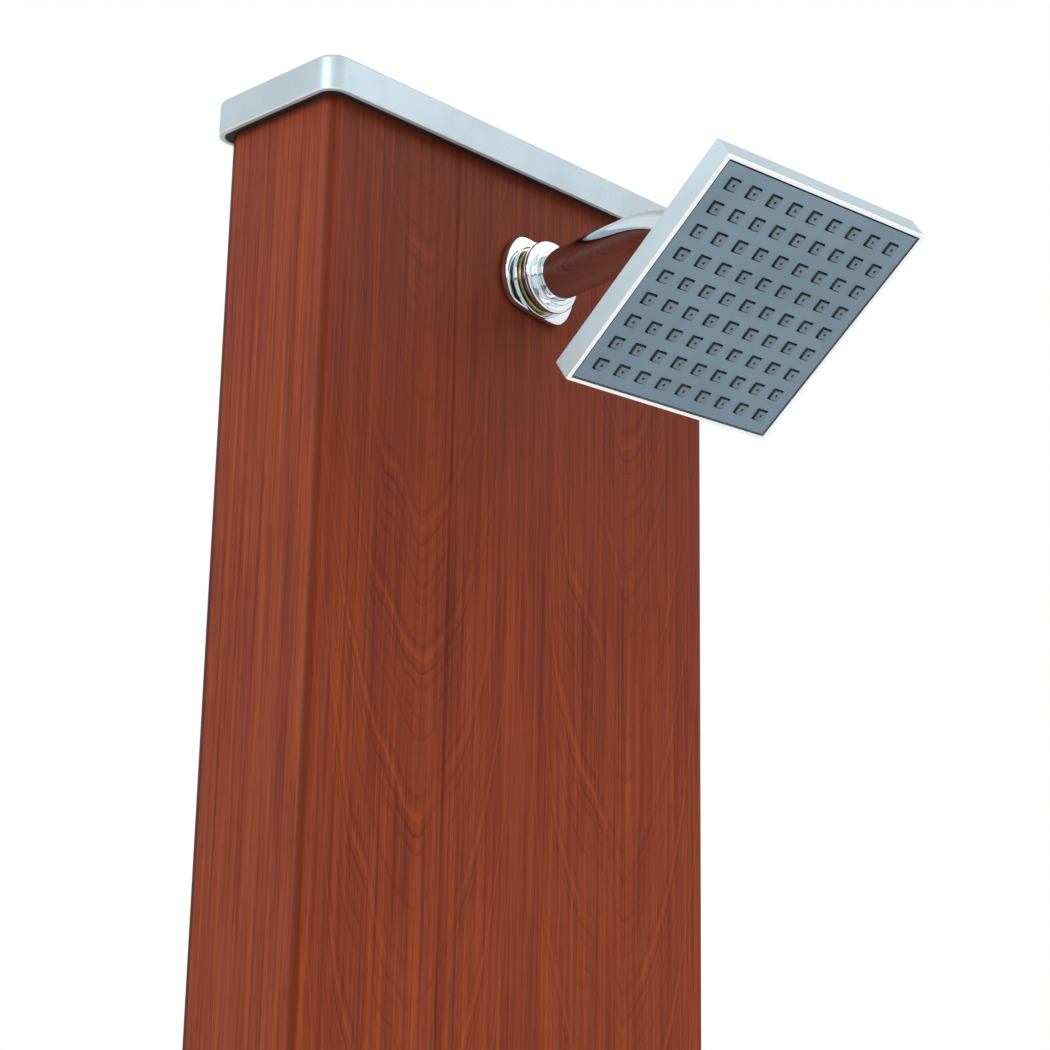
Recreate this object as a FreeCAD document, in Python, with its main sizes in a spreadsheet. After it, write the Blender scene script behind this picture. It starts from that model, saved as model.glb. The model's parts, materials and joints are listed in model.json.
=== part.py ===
import FreeCAD, Part
import math
import os
import re
import Sketcher

# Outdoor shower post: a hollow rectangular column with a tray-shaped cap, a bent
# arm on a flanged wall union, a square head on a ball joint, and a quarter-turn
# valve with a lever, all fed by hoses that run inside the column.
# Millimetres. +Z is up, the front of the post looks along -Y, and the origin lies
# on the floor under the middle of the column.

SIZES = {
    # column
    "overall_height": 2150,
    "post_width": 217,
    "post_depth": 60,
    "post_wall": 2.4,
    "post_corner": 6,
    "web_from_left": 66,
    "web_wall": 2,
    "line_width": 2.4,
    "line_depth": 0.3,
    "port_inset": 6.2,
    "port_radius": 4.2,
    "port_hole": 2,
    # floor plate, brackets and cover
    "plate_width": 300,
    "plate_depth": 160,
    "plate_thickness": 6,
    "plate_corner": 14,
    "anchor_across": 264,
    "anchor_along": 124,
    "anchor_radius": 5.5,
    "bracket_width": 38,
    "bracket_foot": 44,
    "bracket_height": 90,
    "bracket_thickness": 5,
    "bracket_gap": 0.3,
    "bolt_radius": 3.9,
    "bolt_head_radius": 6.5,
    "bolt_head_height": 4.4,
    "bolt_socket": 4,
    "bolt_tip_gap": 1,
    "bolt_inset": 28,
    "bolt_spread": 22,
    "thread_gap": 0.1,
    "side_screw_height": 66,
    "side_screw_spread": 20,
    "side_screw_radius": 2.4,
    "side_head_radius": 4.6,
    "side_head_height": 2.6,
    "side_head_rim": 0.9,
    "side_head_flat": 2.8,
    "side_screw_socket": 2.5,
    "side_screw_past": 2,
    "cover_margin": 3,
    "cover_height": 22,
    "cover_wall": 2,
    "cover_edge": 1.6,
    "cover_post_gap": 0.5,
    # cap
    "cap_overhang": 5.7,
    "cap_back": 3.3,
    "cap_corner": 8.2,
    "cap_skirt": 14,
    "cap_wall": 2.2,
    "cap_edge": 1.6,
    "seal_thickness": 1,
    "seal_drop": 8.5,
    "seal_gap": 0.3,
    "cap_screw_radius": 1.9,
    "cap_screw_length": 22,
    "cap_screw_head": 3.9,
    "cap_screw_socket": 2.5,
    "cap_screw_socket_depth": 1.2,
    # wall union of the arm
    "arm_drop": 55.5,
    "gasket_radius": 18.4,
    "gasket_thickness": 1.5,
    "flange_radius": 19.5,
    "flange_flats": 29.4,
    "flange_thickness": 2.6,
    "flange_turn": -8,
    "flange_bevel": 0.6,
    "boss_radius": 15.3,
    "boss_height": 0.9,
    "brass_ring_radius": 13.7,
    "brass_ring_height": 1,
    "nipple_radius": 10.48,
    "nipple_bore": 7.5,
    "nipple_reach": 17,
    "nose_radius": 12.4,
    "nose_length": 3.4,
    "collar_radius": 14.6,
    "collar_start": 8,
    "collar_length": 2.8,
    "collar_bevel": 0.9,
    "collar_neck_radius": 11.9,
    "collar_neck_length": 1.9,
    "union_seal": 0.6,
    "bead_radius": 12.2,
    "bead_thickness": 0.7,
    "lock_nut_flats": 30,
    "lock_nut_height": 6,
    "lock_washer_radius": 17,
    "lock_washer_height": 1.5,
    # arm
    "arm_radius": 10,
    "arm_wall": 1.5,
    "arm_start": 13.2,
    "arm_rise": 5.3,
    "arm_rise_bend": 30,
    "arm_run": 35.7,
    "arm_bend": 39,
    "arm_dip": 40,
    "arm_to_ball": 14.6,
    # ball joint
    "ball_radius": 9,
    "ball_gap": 0.06,
    "ball_shank": 5.2,
    "ball_bore": 3.2,
    "ball_shoulder": 11.9,
    "ball_shoulder_height": 1.7,
    "ball_tail": 2,
    "seat_thickness": 1.2,
    "seat_top": 4.2,
    "seat_mouth": 6.5,
    "ball_nut_radius": 15.4,
    "ball_nut_top": 6.4,
    "ball_nut_bevel": 2,
    "ball_nut_foot": 8,
    "ball_nut_lip": 8.2,
    "ball_nut_flare": 10.6,
    "ball_nut_bore": 13,
    "flute_radius": 2.2,
    "flute_depth": 0.66,
    "flute_count": 12,
    "neck_radius": 12.92,
    "neck_top": 1.2,
    "neck_foot": 15.4,
    "neck_foot_height": 7,
    "neck_flare": 4,
    "neck_flare_height": 1.6,
    # square head
    "head_side": 100,
    "head_thickness": 10,
    "head_wall": 2,
    "head_edge": 0.6,
    "face_to_ball": 27,
    "head_dip": 53.7,
    "head_yaw": -8.1,
    "head_roll": 1.5,
    "face_recess": 0.5,
    "face_thickness": 2.2,
    "face_gap": 0.25,
    "nozzles_across": 9,
    "nozzle_pitch": 10.05,
    "nozzle_window": 5,
    "nozzle_side": 3.6,
    "nozzle_sink": 0.1,
    "nozzle_hole": 0.6,
    "mat_thickness": 1.2,
    "inner_cover_height": 2.6,
    "inner_cover_wall": 1.2,
    "inner_rim": 4,
    "spigot_radius": 7.4,
    "spigot_gap": 0.1,
    "spigot_height": 4.6,
    "spigot_bore": 4.5,
    "filter_thickness": 1.4,
    # valve and lever
    "valve_height": 1080,
    "barrel_radius": 14,
    "barrel_half": 24,
    "barrel_bevel": 2,
    "barrel_reach": 40,
    "pipe_bore": 6.5,
    "valve_shoulder": 18,
    "valve_shoulder_height": 4,
    "valve_nose": 12,
    "valve_nose_out": 8.4,
    "valve_nut_flats": 28,
    "valve_nut_height": 5,
    "rose_radius": 32,
    "rose_height": 10.5,
    "rose_wall": 1.5,
    "rose_rim": 2.5,
    "rose_shoulder_radius": 29,
    "rose_shoulder_height": 6.5,
    "rose_flat_radius": 19,
    "rose_gap": 0.4,
    "cartridge_radius": 9.6,
    "cartridge_depth": 22,
    "cartridge_head": 11.2,
    "cartridge_head_height": 3.4,
    "cartridge_neck": 6.4,
    "cartridge_neck_height": 7,
    "fit_gap": 0.05,
    "spindle_radius": 4,
    "spindle_inside": 12,
    "spindle_grip": 9,
    "hub_radius": 19,
    "hub_gap": 0.6,
    "hub_height": 25,
    "hub_round": 3,
    "lever_start": 12,
    "lever_length": 84,
    "lever_root": 6.6,
    "lever_tip": 4.8,
    "lever_out": 13,
    "lever_end_round": 2.9,
    "screw_radius": 2,
    "screw_head_radius": 3.6,
    "screw_head_height": 2.4,
    "screw_length": 7,
    "screw_tip_gap": 1,
    "plug_radius": 7.5,
    "plug_height": 2,
    "plug_proud": 0.6,
    "plug_crown": 1.5,
    # hoses and inlet
    "hose_radius": 7,
    "hose_bore": 4.5,
    "hose_nut_flats": 25,
    "hose_nut_height": 13,
    "hose_nut_lip": 3,
    "elbow_leg_down": 30,
    "elbow_socket_radius": 14,
    "elbow_socket_length": 12.5,
    "inlet_height": 190,
    "inlet_reach": 17,
    "inlet_collar_radius": 14.5,
    "inlet_collar_height": 4,
    "inlet_seal_height": 1.5,
}

document = FreeCAD.newDocument("shower_post")
sheet = document.addObject("Spreadsheet::Sheet", "sizes")
for row, (alias, number) in enumerate(SIZES.items(), start=1):
    sheet.set("A%d" % row, str(number))
    sheet.setAlias("A%d" % row, alias)
document.recompute()

ZERO = "0"
TOLERANCE = 0.001
REFERENCES = {alias: "sizes." + alias for alias in SIZES}
NODES = []


def named(words):
    """Turns the size names in an expression into references to the sheet."""
    return re.sub(r"[a-z]\w*", lambda found: REFERENCES.get(found.group(), found.group()), words)


def worth(words):
    """The present value of an expression in size names."""
    value = sheet.evalExpression(named(words))
    return float(getattr(value, "Value", value))


# ---------------------------------------------------------------- bodies and sketches


def new_body(label, place=None):
    """A body of the document that becomes one node, at a place given by at()."""
    body = document.addObject("PartDesign::Body", label)
    body.Label = label
    if place is not None:
        spot, rotation = place
        body.Placement = FreeCAD.Placement(FreeCAD.Vector(), rotation)
        for axis, words in zip("xyz", spot):
            if words != ZERO:
                body.setExpression("Placement.Base." + axis, named(words))
    NODES.append(body)
    return body


def origin_item(body, role):
    """One of the planes or axes of the body's own origin."""
    return next(item for item in body.Origin.OriginFeatures if item.Role == role)


def new_sketch(body, role, height=ZERO):
    """A sketch on one of the body's own planes, lifted along the plane's normal."""
    sketch = body.newObject("Sketcher::SketchObject", body.Label + "_sketch")
    sketch.AttachmentSupport = [(origin_item(body, role), "")]
    sketch.MapMode = "FlatFace"
    if height != ZERO:
        sketch.setExpression("AttachmentOffset.Base.z", named(height))
    return sketch


def hold(sketch, kind, items, text):
    """Adds a dimension whose value is an expression."""
    amount = worth(text)
    if kind == "Angle":
        amount = math.radians(amount)
    number = sketch.addConstraint(Sketcher.Constraint(kind, *items, amount))
    sketch.setExpression("Constraints[%d]" % number, named(text))


def hold_point(sketch, item, end, across, up):
    """Ties a point to its distances from the sketch's origin."""
    for kind, axis, text in (("DistanceX", -2, across), ("DistanceY", -1, up)):
        if text == ZERO:
            sketch.addConstraint(Sketcher.Constraint("PointOnObject", item, end, axis))
        else:
            hold(sketch, kind, (-1, 1, item, end), text)


def arc_through(start, finish, radius, turn):
    """The short arc of a radius from start to finish; turn is 1 where it runs anticlockwise."""
    chord = finish - start
    rise = math.sqrt(max(radius ** 2 - (chord.Length / 2) ** 2, 0))
    left = FreeCAD.Vector(-chord.y, chord.x, 0).normalize()
    centre = (start + finish) * 0.5 + left * rise * turn
    first, last = (start, finish) if turn > 0 else (finish, start)
    begin = math.atan2(first.y - centre.y, first.x - centre.x)
    stop = math.atan2(last.y - centre.y, last.x - centre.x)
    circle_line = Part.Circle(centre, FreeCAD.Vector(0, 0, 1), radius)
    return Part.ArcOfCircle(circle_line, begin, stop if stop > begin else stop + 2 * math.pi)


def outline(sketch, corners):
    """A closed outline. A corner is (across, up), and (across, up, radius, turn) starts an arc."""
    spots = [FreeCAD.Vector(worth(corner[0]), worth(corner[1]), 0) for corner in corners]
    first = sketch.GeometryCount
    count = len(corners)
    starts = []
    for index, corner in enumerate(corners):
        start, finish = spots[index], spots[(index + 1) % count]
        if len(corner) == 2:
            sketch.addGeometry(Part.LineSegment(start, finish))
            starts.append(1)
        else:
            sketch.addGeometry(arc_through(start, finish, worth(corner[2]), corner[3]))
            starts.append(1 if corner[3] > 0 else 2)
    for index, corner in enumerate(corners):
        after = (index + 1) % count
        sketch.addConstraint(Sketcher.Constraint(
            "Coincident", first + index, 3 - starts[index], first + after, starts[after]))
    for index, corner in enumerate(corners):
        hold_point(sketch, first + index, starts[index], corner[0], corner[1])
        if len(corner) > 2:
            hold(sketch, "Radius", (first + index,), corner[2])
    return sketch


def circle(sketch, radius, across=ZERO, up=ZERO):
    spot = FreeCAD.Vector(worth(across), worth(up), 0)
    item = sketch.GeometryCount
    sketch.addGeometry(Part.Circle(spot, FreeCAD.Vector(0, 0, 1), worth(radius)))
    hold(sketch, "Radius", (item,), radius)
    hold_point(sketch, item, 3, across, up)
    return sketch


def rounded_box(sketch, left, right, low, high, radius):
    """A rectangle with round corners, from its four sides."""
    inset = f"( {radius} )"
    return outline(sketch, [
        (f"{left} + {inset}", low),
        (f"{right} - {inset}", low, radius, 1),
        (right, f"{low} + {inset}"),
        (right, f"{high} - {inset}", radius, 1),
        (f"{right} - {inset}", high),
        (f"{left} + {inset}", high, radius, 1),
        (left, f"{high} - {inset}"),
        (left, f"{low} + {inset}", radius, 1),
    ])


def centred_box(sketch, width, depth, radius):
    return rounded_box(sketch, f"0 - ( {width} ) / 2", f"( {width} ) / 2",
                       f"0 - ( {depth} ) / 2", f"( {depth} ) / 2", radius)


def corner_circles(sketch, radius, across, along):
    """Four circles, one in each quarter."""
    for side in ("", "0 - "):
        for end in ("", "0 - "):
            circle(sketch, radius, f"{side}( {across} )", f"{end}( {along} )")
    return sketch


def square(sketch, side):
    half = f"( {side} ) / 2"
    return outline(sketch, [(f"0 - {half}", f"0 - {half}"), (half, f"0 - {half}"),
                            (half, half), (f"0 - {half}", half)])


def hexagon(sketch, flats):
    """A hexagon by its width across flats."""
    reach = f"( {flats} ) / sqrt(3)"
    corners = []
    for step in range(6):
        angle = 60 * step + 30
        corners.append((f"{reach} * cos({angle} deg )", f"{reach} * sin({angle} deg )"))
    corners[1] = (ZERO, reach)
    corners[4] = (ZERO, f"0 - {reach}")
    return outline(sketch, corners)


# ---------------------------------------------------------------- features


def pad(body, sketch, length, back=False, middle=False):
    feature = body.newObject("PartDesign::Pad", body.Label + "_pad")
    feature.Profile = sketch
    feature.setExpression("Length", named(length))
    feature.Reversed = back
    feature.Midplane = middle
    sketch.Visibility = False
    return feature


def pocket(body, sketch, length=None, back=False, middle=False):
    """Cuts against the sketch's normal, or along it where back is set; no length cuts through."""
    feature = body.newObject("PartDesign::Pocket", body.Label + "_pocket")
    feature.Profile = sketch
    if length is None:
        feature.Type = "ThroughAll"
    else:
        feature.setExpression("Length", named(length))
    feature.Reversed = back
    feature.Midplane = middle
    return feature


def turn(body, corners, role="XZ_Plane"):
    """Turns an outline, given as (radius, height), once round the sketch's upright axis."""
    sketch = outline(new_sketch(body, role), corners)
    feature = body.newObject("PartDesign::Revolution", body.Label + "_turned")
    feature.Profile = sketch
    feature.ReferenceAxis = (sketch, ["V_Axis"])
    feature.Angle = 360
    return feature


def turned(label, place, corners):
    """A piece that is turned about its own Z axis."""
    body = new_body(label, place)
    turn(body, corners)
    return body


def ring(label, place, low, high, inner, outer):
    """A flat ring from one height to another."""
    return turned(label, place, [(inner, low), (outer, low), (outer, high), (inner, high)])


def dress_edges(body, kind, size, amount, choose):
    """Breaks those edges of the body for which choose(edge) holds."""
    document.recompute()
    base = body.Tip
    names = ["Edge%d" % (number + 1) for number, edge in enumerate(base.Shape.Edges) if choose(edge)]
    feature = body.newObject("PartDesign::" + kind, body.Label + "_edges")
    feature.Base = (base, names)
    feature.setExpression(size, named(amount))
    return feature


def round_edges(body, radius, choose):
    return dress_edges(body, "Fillet", "Radius", radius, choose)


def bevel_edges(body, width, choose):
    return dress_edges(body, "Chamfer", "Size", width, choose)


def at_height(height, edge):
    """Whether an edge lies flat at a height of the body."""
    box = edge.BoundBox
    level = worth(height)
    return abs(box.ZMin - level) < TOLERANCE and abs(box.ZMax - level) < TOLERANCE


def grid_of(body, features, copies, pitch):
    """Repeats features in a square grid along X and Y."""
    grid = body.newObject("PartDesign::MultiTransform", body.Label + "_grid")
    grid.Originals = features
    rows = []
    for role in ("X_Axis", "Y_Axis"):
        row = body.newObject("PartDesign::LinearPattern", body.Label + "_row")
        row.Direction = (origin_item(body, role), [""])
        row.Mode = "Spacing"
        row.setExpression("Offset", named(pitch))
        row.setExpression("Occurrences", named(copies))
        rows.append(row)
    grid.Transformations = rows
    body.Tip = grid
    return grid


def four_of(label, body):
    """The body and its mirror images left to right and front to back, as one group of solids."""
    NODES.remove(body)
    side = document.addObject("Part::Mirroring", label + "_side")
    side.Source = body
    side.Normal = FreeCAD.Vector(1, 0, 0)
    pair = document.addObject("Part::Compound", label + "_pair")
    pair.Links = [body, side]
    back = document.addObject("Part::Mirroring", label + "_back")
    back.Source = pair
    back.Normal = FreeCAD.Vector(0, 1, 0)
    group = document.addObject("Part::Compound", label)
    group.Label = label
    group.Links = [pair, back]
    NODES.append(group)
    return group


# ---------------------------------------------------------------- places

X_AXIS = FreeCAD.Vector(1, 0, 0)
Y_AXIS = FreeCAD.Vector(0, 1, 0)
Z_AXIS = FreeCAD.Vector(0, 0, 1)
NO_TURN = FreeCAD.Rotation()
OUT_OF_FRONT = FreeCAD.Rotation(X_AXIS, 90)
OUT_OF_BACK = FreeCAD.Rotation(X_AXIS, -90)
OUT_OF_SIDE = FreeCAD.Rotation(Y_AXIS, 90)
UPSIDE_DOWN = FreeCAD.Rotation(X_AXIS, 180)
RISE = "( arm_rise * 1 deg )"
DIP = "( arm_dip * 1 deg )"
ARM_HEIGHT = "overall_height - arm_drop"
POST_TOP = "overall_height - cap_wall - seal_thickness"
PORT_ACROSS = "post_width / 2 - port_inset"
PORT_ALONG = "post_depth / 2 - port_inset"
LEG_IN = "( post_depth / 2 - nipple_reach )"
FIRST_NOZZLE = "0 - nozzle_pitch * ( nozzles_across - 1 ) / 2"
BALL_OUT = (f"arm_start + arm_rise_bend * sin{RISE} + arm_run * cos{RISE}"
            f" + arm_bend * ( sin{RISE} + sin{DIP} ) + arm_to_ball * cos{DIP}")
BALL_UP = (f"arm_rise_bend * ( 1 - cos{RISE} ) + arm_run * sin{RISE}"
           f" + arm_bend * ( cos{DIP} - cos{RISE} ) - arm_to_ball * sin{DIP}")


def at(across, along, up, rotation=NO_TURN):
    """A place: three expressions for the spot, and a rotation."""
    return (across, along, up), rotation


def on_front(height, rotation=OUT_OF_FRONT):
    """On the front face, with Z pointing out of it and Y up."""
    return at(ZERO, "0 - post_depth / 2", height, rotation)


def on_back(height):
    """On the back face, with Z pointing out of it."""
    return at(ZERO, "post_depth / 2", height, OUT_OF_BACK)


def at_ball(rotation):
    """At the ball's centre, where the arm's centre line ends."""
    return at(ZERO, f"0 - post_depth / 2 - ( {BALL_OUT} )", f"{ARM_HEIGHT} + {BALL_UP}", rotation)


def arm_end():
    """At the ball's centre, with Z pointing back up the arm."""
    return at_ball(FreeCAD.Rotation(X_AXIS, worth("arm_dip") - 90))


def head_place():
    """At the ball's centre, with Z pointing out of the head's back."""
    yaw = FreeCAD.Rotation(Z_AXIS, worth("head_yaw"))
    dip = FreeCAD.Rotation(X_AXIS, worth("head_dip") - 90)
    roll = FreeCAD.Rotation(Z_AXIS, worth("head_roll"))
    return at_ball(yaw.multiply(dip).multiply(roll))


# ---------------------------------------------------------------- column and cap


def post_profile():
    """Extruded two-chamber column with screw ports and the holes for the fittings."""
    body = new_body("post_profile", at(ZERO, ZERO, "plate_thickness"))
    length = f"{POST_TOP} - plate_thickness"
    pad(body, centred_box(new_sketch(body, "XY_Plane"), "post_width", "post_depth", "post_corner"), length)

    inner_round = "post_corner - post_wall"
    left = "0 - post_width / 2 + post_wall"
    right = "post_width / 2 - post_wall"
    low = "0 - post_depth / 2 + post_wall"
    high = "post_depth / 2 - post_wall"
    web = "0 - post_width / 2 + web_from_left"
    chambers = new_sketch(body, "XY_Plane")
    rounded_box(chambers, left, f"{web} - web_wall / 2", low, high, inner_round)
    rounded_box(chambers, f"{web} + web_wall / 2", right, low, high, inner_round)
    pocket(body, chambers, back=True)

    pad(body, port_circles(body, "port_radius"), length)
    pocket(body, port_circles(body, "port_hole"), back=True)

    # shallow line down the face in front of the web
    groove = new_sketch(body, "XY_Plane")
    front = "0 - post_depth / 2"
    outline(groove, [(f"{web} - line_width / 2", front), (web, f"{front} + line_depth"),
                     (f"{web} + line_width / 2", front)])
    pocket(body, groove, back=True)

    through_wall = "post_wall * 2"
    fronts = new_sketch(body, "XZ_Plane", "post_depth / 2")
    circle(fronts, "nipple_radius + thread_gap", ZERO, f"{ARM_HEIGHT} - plate_thickness")
    circle(fronts, "valve_nose + thread_gap", ZERO, "valve_height - plate_thickness")
    pocket(body, fronts, through_wall)
    backs = new_sketch(body, "XZ_Plane", "0 - post_depth / 2")
    circle(backs, "nipple_radius + thread_gap", ZERO, "inlet_height - plate_thickness")
    pocket(body, backs, through_wall, back=True)
    for side, back in (("post_width / 2", False), ("0 - post_width / 2", True)):
        sides = new_sketch(body, "YZ_Plane", side)
        for along in ("side_screw_spread / 2", "0 - side_screw_spread / 2"):
            circle(sides, "side_screw_radius + thread_gap", along, "side_screw_height - plate_thickness")
        pocket(body, sides, through_wall, back=back)
    return body


def port_circles(body, radius):
    """A circle over each of the column's screw ports."""
    return corner_circles(new_sketch(body, "XY_Plane"), radius, PORT_ACROSS, PORT_ALONG)


def cap_box(sketch, inset, radius):
    """The cap's outline, moved in by an inset; it stands out less at the back than elsewhere."""
    side = f"post_width / 2 + cap_overhang - ( {inset} )"
    return rounded_box(sketch, f"0 - ( {side} )", side,
                       f"0 - post_depth / 2 - cap_overhang + {inset}",
                       f"post_depth / 2 + cap_back - ( {inset} )", radius)


def top_cap():
    """Tray that stands out all round the column, with four countersunk holes."""
    body = new_body("top_cap", at(ZERO, ZERO, "overall_height - cap_skirt"))
    pad(body, cap_box(new_sketch(body, "XY_Plane"), ZERO, "cap_corner"), "cap_skirt")
    pocket(body, cap_box(new_sketch(body, "XY_Plane"), "cap_wall", "cap_corner - cap_wall"),
           "cap_skirt - cap_wall", back=True)
    round_edges(body, "cap_edge", lambda edge: at_height("cap_skirt", edge))
    pocket(body, port_circles(body, "cap_screw_radius + thread_gap"), back=True)
    small = worth("2 * cap_screw_head")
    bevel_edges(body, "cap_screw_head - cap_screw_radius",
                lambda edge: at_height("cap_skirt", edge) and edge.BoundBox.XLength < small)
    return body


def cap_seal():
    """Rubber frame on the column's end, with a skirt that fills the gap inside the cap."""
    body = new_body("cap_seal", at(ZERO, ZERO, f"{POST_TOP} - seal_drop"))
    inset = "cap_wall + seal_gap"
    pad(body, cap_box(new_sketch(body, "XY_Plane"), inset, f"post_corner + cap_overhang - ( {inset} )"),
        "seal_drop + seal_thickness")
    pocket(body, centred_box(new_sketch(body, "XY_Plane"), "post_width + seal_gap",
                             "post_depth + seal_gap", "post_corner"), "seal_drop", back=True)
    rim = "2 * ( port_inset + port_radius )"
    pocket(body, centred_box(new_sketch(body, "XY_Plane"), f"post_width - {rim}",
                             f"post_depth - {rim}", "port_hole"), back=True)
    pocket(body, port_circles(body, "cap_screw_radius + thread_gap"), back=True)
    return body


def cap_screws():
    """Countersunk screws through the cap into the column's ports."""
    head = "0 - ( cap_screw_head - cap_screw_radius )"
    tip = "0 - cap_screw_length"
    body = turned("cap_screw", at(PORT_ACROSS, PORT_ALONG, "overall_height"), [
        (ZERO, tip), ("cap_screw_radius", f"{tip} + cap_screw_radius"), ("cap_screw_radius", head),
        ("cap_screw_head", ZERO), (ZERO, ZERO)])
    pocket(body, hexagon(new_sketch(body, "XY_Plane"), "cap_screw_socket"), "cap_screw_socket_depth")
    return four_of("cap_screws", body)


# ---------------------------------------------------------------- floor fixing


def base_plate():
    """Floor plate with four anchor holes and tapped holes for the brackets."""
    body = new_body("base_plate")
    pad(body, centred_box(new_sketch(body, "XY_Plane"), "plate_width", "plate_depth", "plate_corner"),
        "plate_thickness")
    holes = new_sketch(body, "XY_Plane")
    corner_circles(holes, "anchor_radius", "anchor_across / 2", "anchor_along / 2")
    corner_circles(holes, "bolt_radius + thread_gap", "post_width / 2 - bolt_inset", "bolt_spread / 2")
    pocket(body, holes, back=True)
    return body


def bracket(label, rotation):
    """Angle that stands on the floor plate against the inside of the column's end wall."""
    body = new_body(label, at(ZERO, ZERO, "plate_thickness", rotation))
    outer = "post_width / 2 - post_wall - bracket_gap"
    sketch = outline(new_sketch(body, "XZ_Plane"), [
        (f"{outer} - bracket_foot", ZERO), (outer, ZERO), (outer, "bracket_height"),
        (f"{outer} - bracket_thickness", "bracket_height"),
        (f"{outer} - bracket_thickness", "bracket_thickness"),
        (f"{outer} - bracket_foot", "bracket_thickness")])
    pad(body, sketch, "bracket_width", middle=True)
    feet = new_sketch(body, "XY_Plane")
    sides = new_sketch(body, "YZ_Plane", outer)
    for way in ("", "0 - "):
        circle(feet, "bolt_radius + thread_gap", "post_width / 2 - bolt_inset", f"{way}bolt_spread / 2")
        circle(sides, "side_screw_radius + thread_gap", f"{way}side_screw_spread / 2",
               "side_screw_height - plate_thickness")
    pocket(body, feet, back=True)
    pocket(body, sides)
    return body


def bracket_bolts():
    """Socket-head bolts that hold the brackets to the floor plate."""
    place = at("post_width / 2 - bolt_inset", "bolt_spread / 2", "plate_thickness + bracket_thickness")
    tip = "0 - bracket_thickness - plate_thickness + bolt_tip_gap"
    body = turned("bracket_bolt", place, [
        (ZERO, tip), ("bolt_radius", tip), ("bolt_radius", ZERO), ("bolt_head_radius", ZERO),
        ("bolt_head_radius", "bolt_head_height"), (ZERO, "bolt_head_height")])
    pocket(body, hexagon(new_sketch(body, "XY_Plane", "bolt_head_height"), "bolt_socket"),
           "bolt_head_height / 2")
    return four_of("bracket_bolts", body)


def side_screws():
    """Button-head screws through the column's ends into the brackets."""
    place = at("post_width / 2", "side_screw_spread / 2", "side_screw_height", OUT_OF_SIDE)
    tip = "0 - post_wall - bracket_gap - bracket_thickness - side_screw_past"
    body = turned("side_screw", place, [
        (ZERO, tip), ("side_screw_radius", tip), ("side_screw_radius", ZERO),
        ("side_head_radius", ZERO), ("side_head_radius", "side_head_rim"),
        ("side_head_flat", "side_head_height"), (ZERO, "side_head_height")])
    pocket(body, hexagon(new_sketch(body, "XY_Plane", "side_head_height"), "side_screw_socket"),
           "side_head_height / 2")
    return four_of("side_screws", body)


def base_cover():
    """Low tray that hides the floor plate and closes round the column."""
    body = new_body("base_cover")
    grow = "2 * ( cover_margin + cover_wall )"
    corner = "plate_corner + cover_margin + cover_wall"
    pad(body, centred_box(new_sketch(body, "XY_Plane"), f"plate_width + {grow}",
                          f"plate_depth + {grow}", corner), "cover_height")
    pocket(body, centred_box(new_sketch(body, "XY_Plane"), "plate_width + 2 * cover_margin",
                             "plate_depth + 2 * cover_margin", "plate_corner + cover_margin"),
           "cover_height - cover_wall", back=True)
    round_edges(body, "cover_edge", lambda edge: at_height("cover_height", edge))
    pocket(body, centred_box(new_sketch(body, "XY_Plane"), "post_width + 2 * cover_post_gap",
                             "post_depth + 2 * cover_post_gap", "post_corner + cover_post_gap"),
           back=True)
    return body


# ---------------------------------------------------------------- wall union and arm


def wall_union():
    """Everything that clamps the arm's threaded nipple in the front wall."""
    place = on_front(ARM_HEIGHT)
    bore = "nipple_radius + thread_gap"
    ring("flange_gasket", place, ZERO, "gasket_thickness", bore, "gasket_radius")

    turn_of_flange = OUT_OF_FRONT.multiply(FreeCAD.Rotation(Z_AXIS, worth("flange_turn")))
    flange = new_body("wall_flange", on_front(ARM_HEIGHT, turn_of_flange))
    half = "flange_flats / 2"
    reach = "sqrt(flange_radius ^ 2 - ( flange_flats / 2 ) ^ 2 )"
    sketch = new_sketch(flange, "XY_Plane", "gasket_thickness")
    outline(sketch, [(reach, f"0 - {half}", "flange_radius", 1), (reach, half),
                     (f"0 - {reach}", half, "flange_radius", 1), (f"0 - {reach}", f"0 - {half}")])
    pad(flange, sketch, "flange_thickness")
    face = "gasket_thickness + flange_thickness"
    bevel_edges(flange, "flange_bevel", lambda edge: at_height(face, edge))
    pad(flange, circle(new_sketch(flange, "XY_Plane", face), "boss_radius"), "boss_height")
    pocket(flange, circle(new_sketch(flange, "XY_Plane"), bore), back=True)

    seat = f"{face} + boss_height"
    shoulder = f"{seat} + brass_ring_height"
    ring("brass_ring", place, seat, shoulder, bore, "brass_ring_radius")
    tip = f"{shoulder} + nose_length"
    turned("wall_nipple", place, [
        ("nipple_bore", "0 - nipple_reach"), ("nipple_radius", "0 - nipple_reach"),
        ("nipple_radius", shoulder), ("nose_radius", shoulder), ("nose_radius", tip),
        ("nipple_bore", tip)])
    inside = "0 - post_wall"
    ring("lock_washer", place, f"{inside} - lock_washer_height", inside, bore, "lock_washer_radius")
    lock_nut("lock_nut", place, f"{inside} - lock_washer_height - lock_nut_height")

    ring("union_seal", place, tip, f"{tip} + union_seal", "nipple_bore", "nose_radius")
    bead = f"{tip} + union_seal + bead_thickness"
    step = "collar_start + collar_length"
    top = f"{step} + collar_neck_length"
    nose = "nose_radius + thread_gap"
    shaft = "arm_radius + thread_gap"
    turned("arm_collar", place, [
        (nose, "collar_start"), ("collar_radius - collar_bevel", "collar_start"),
        ("collar_radius", "collar_start + collar_bevel"),
        ("collar_radius", f"{step} - collar_bevel"),
        ("collar_radius - collar_bevel", step), ("collar_neck_radius", step),
        ("collar_neck_radius", f"{top} - collar_bevel / 2"),
        ("collar_neck_radius - collar_bevel / 2", top), (shaft, top), (shaft, bead), (nose, bead)])
    return tip, bead


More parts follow.
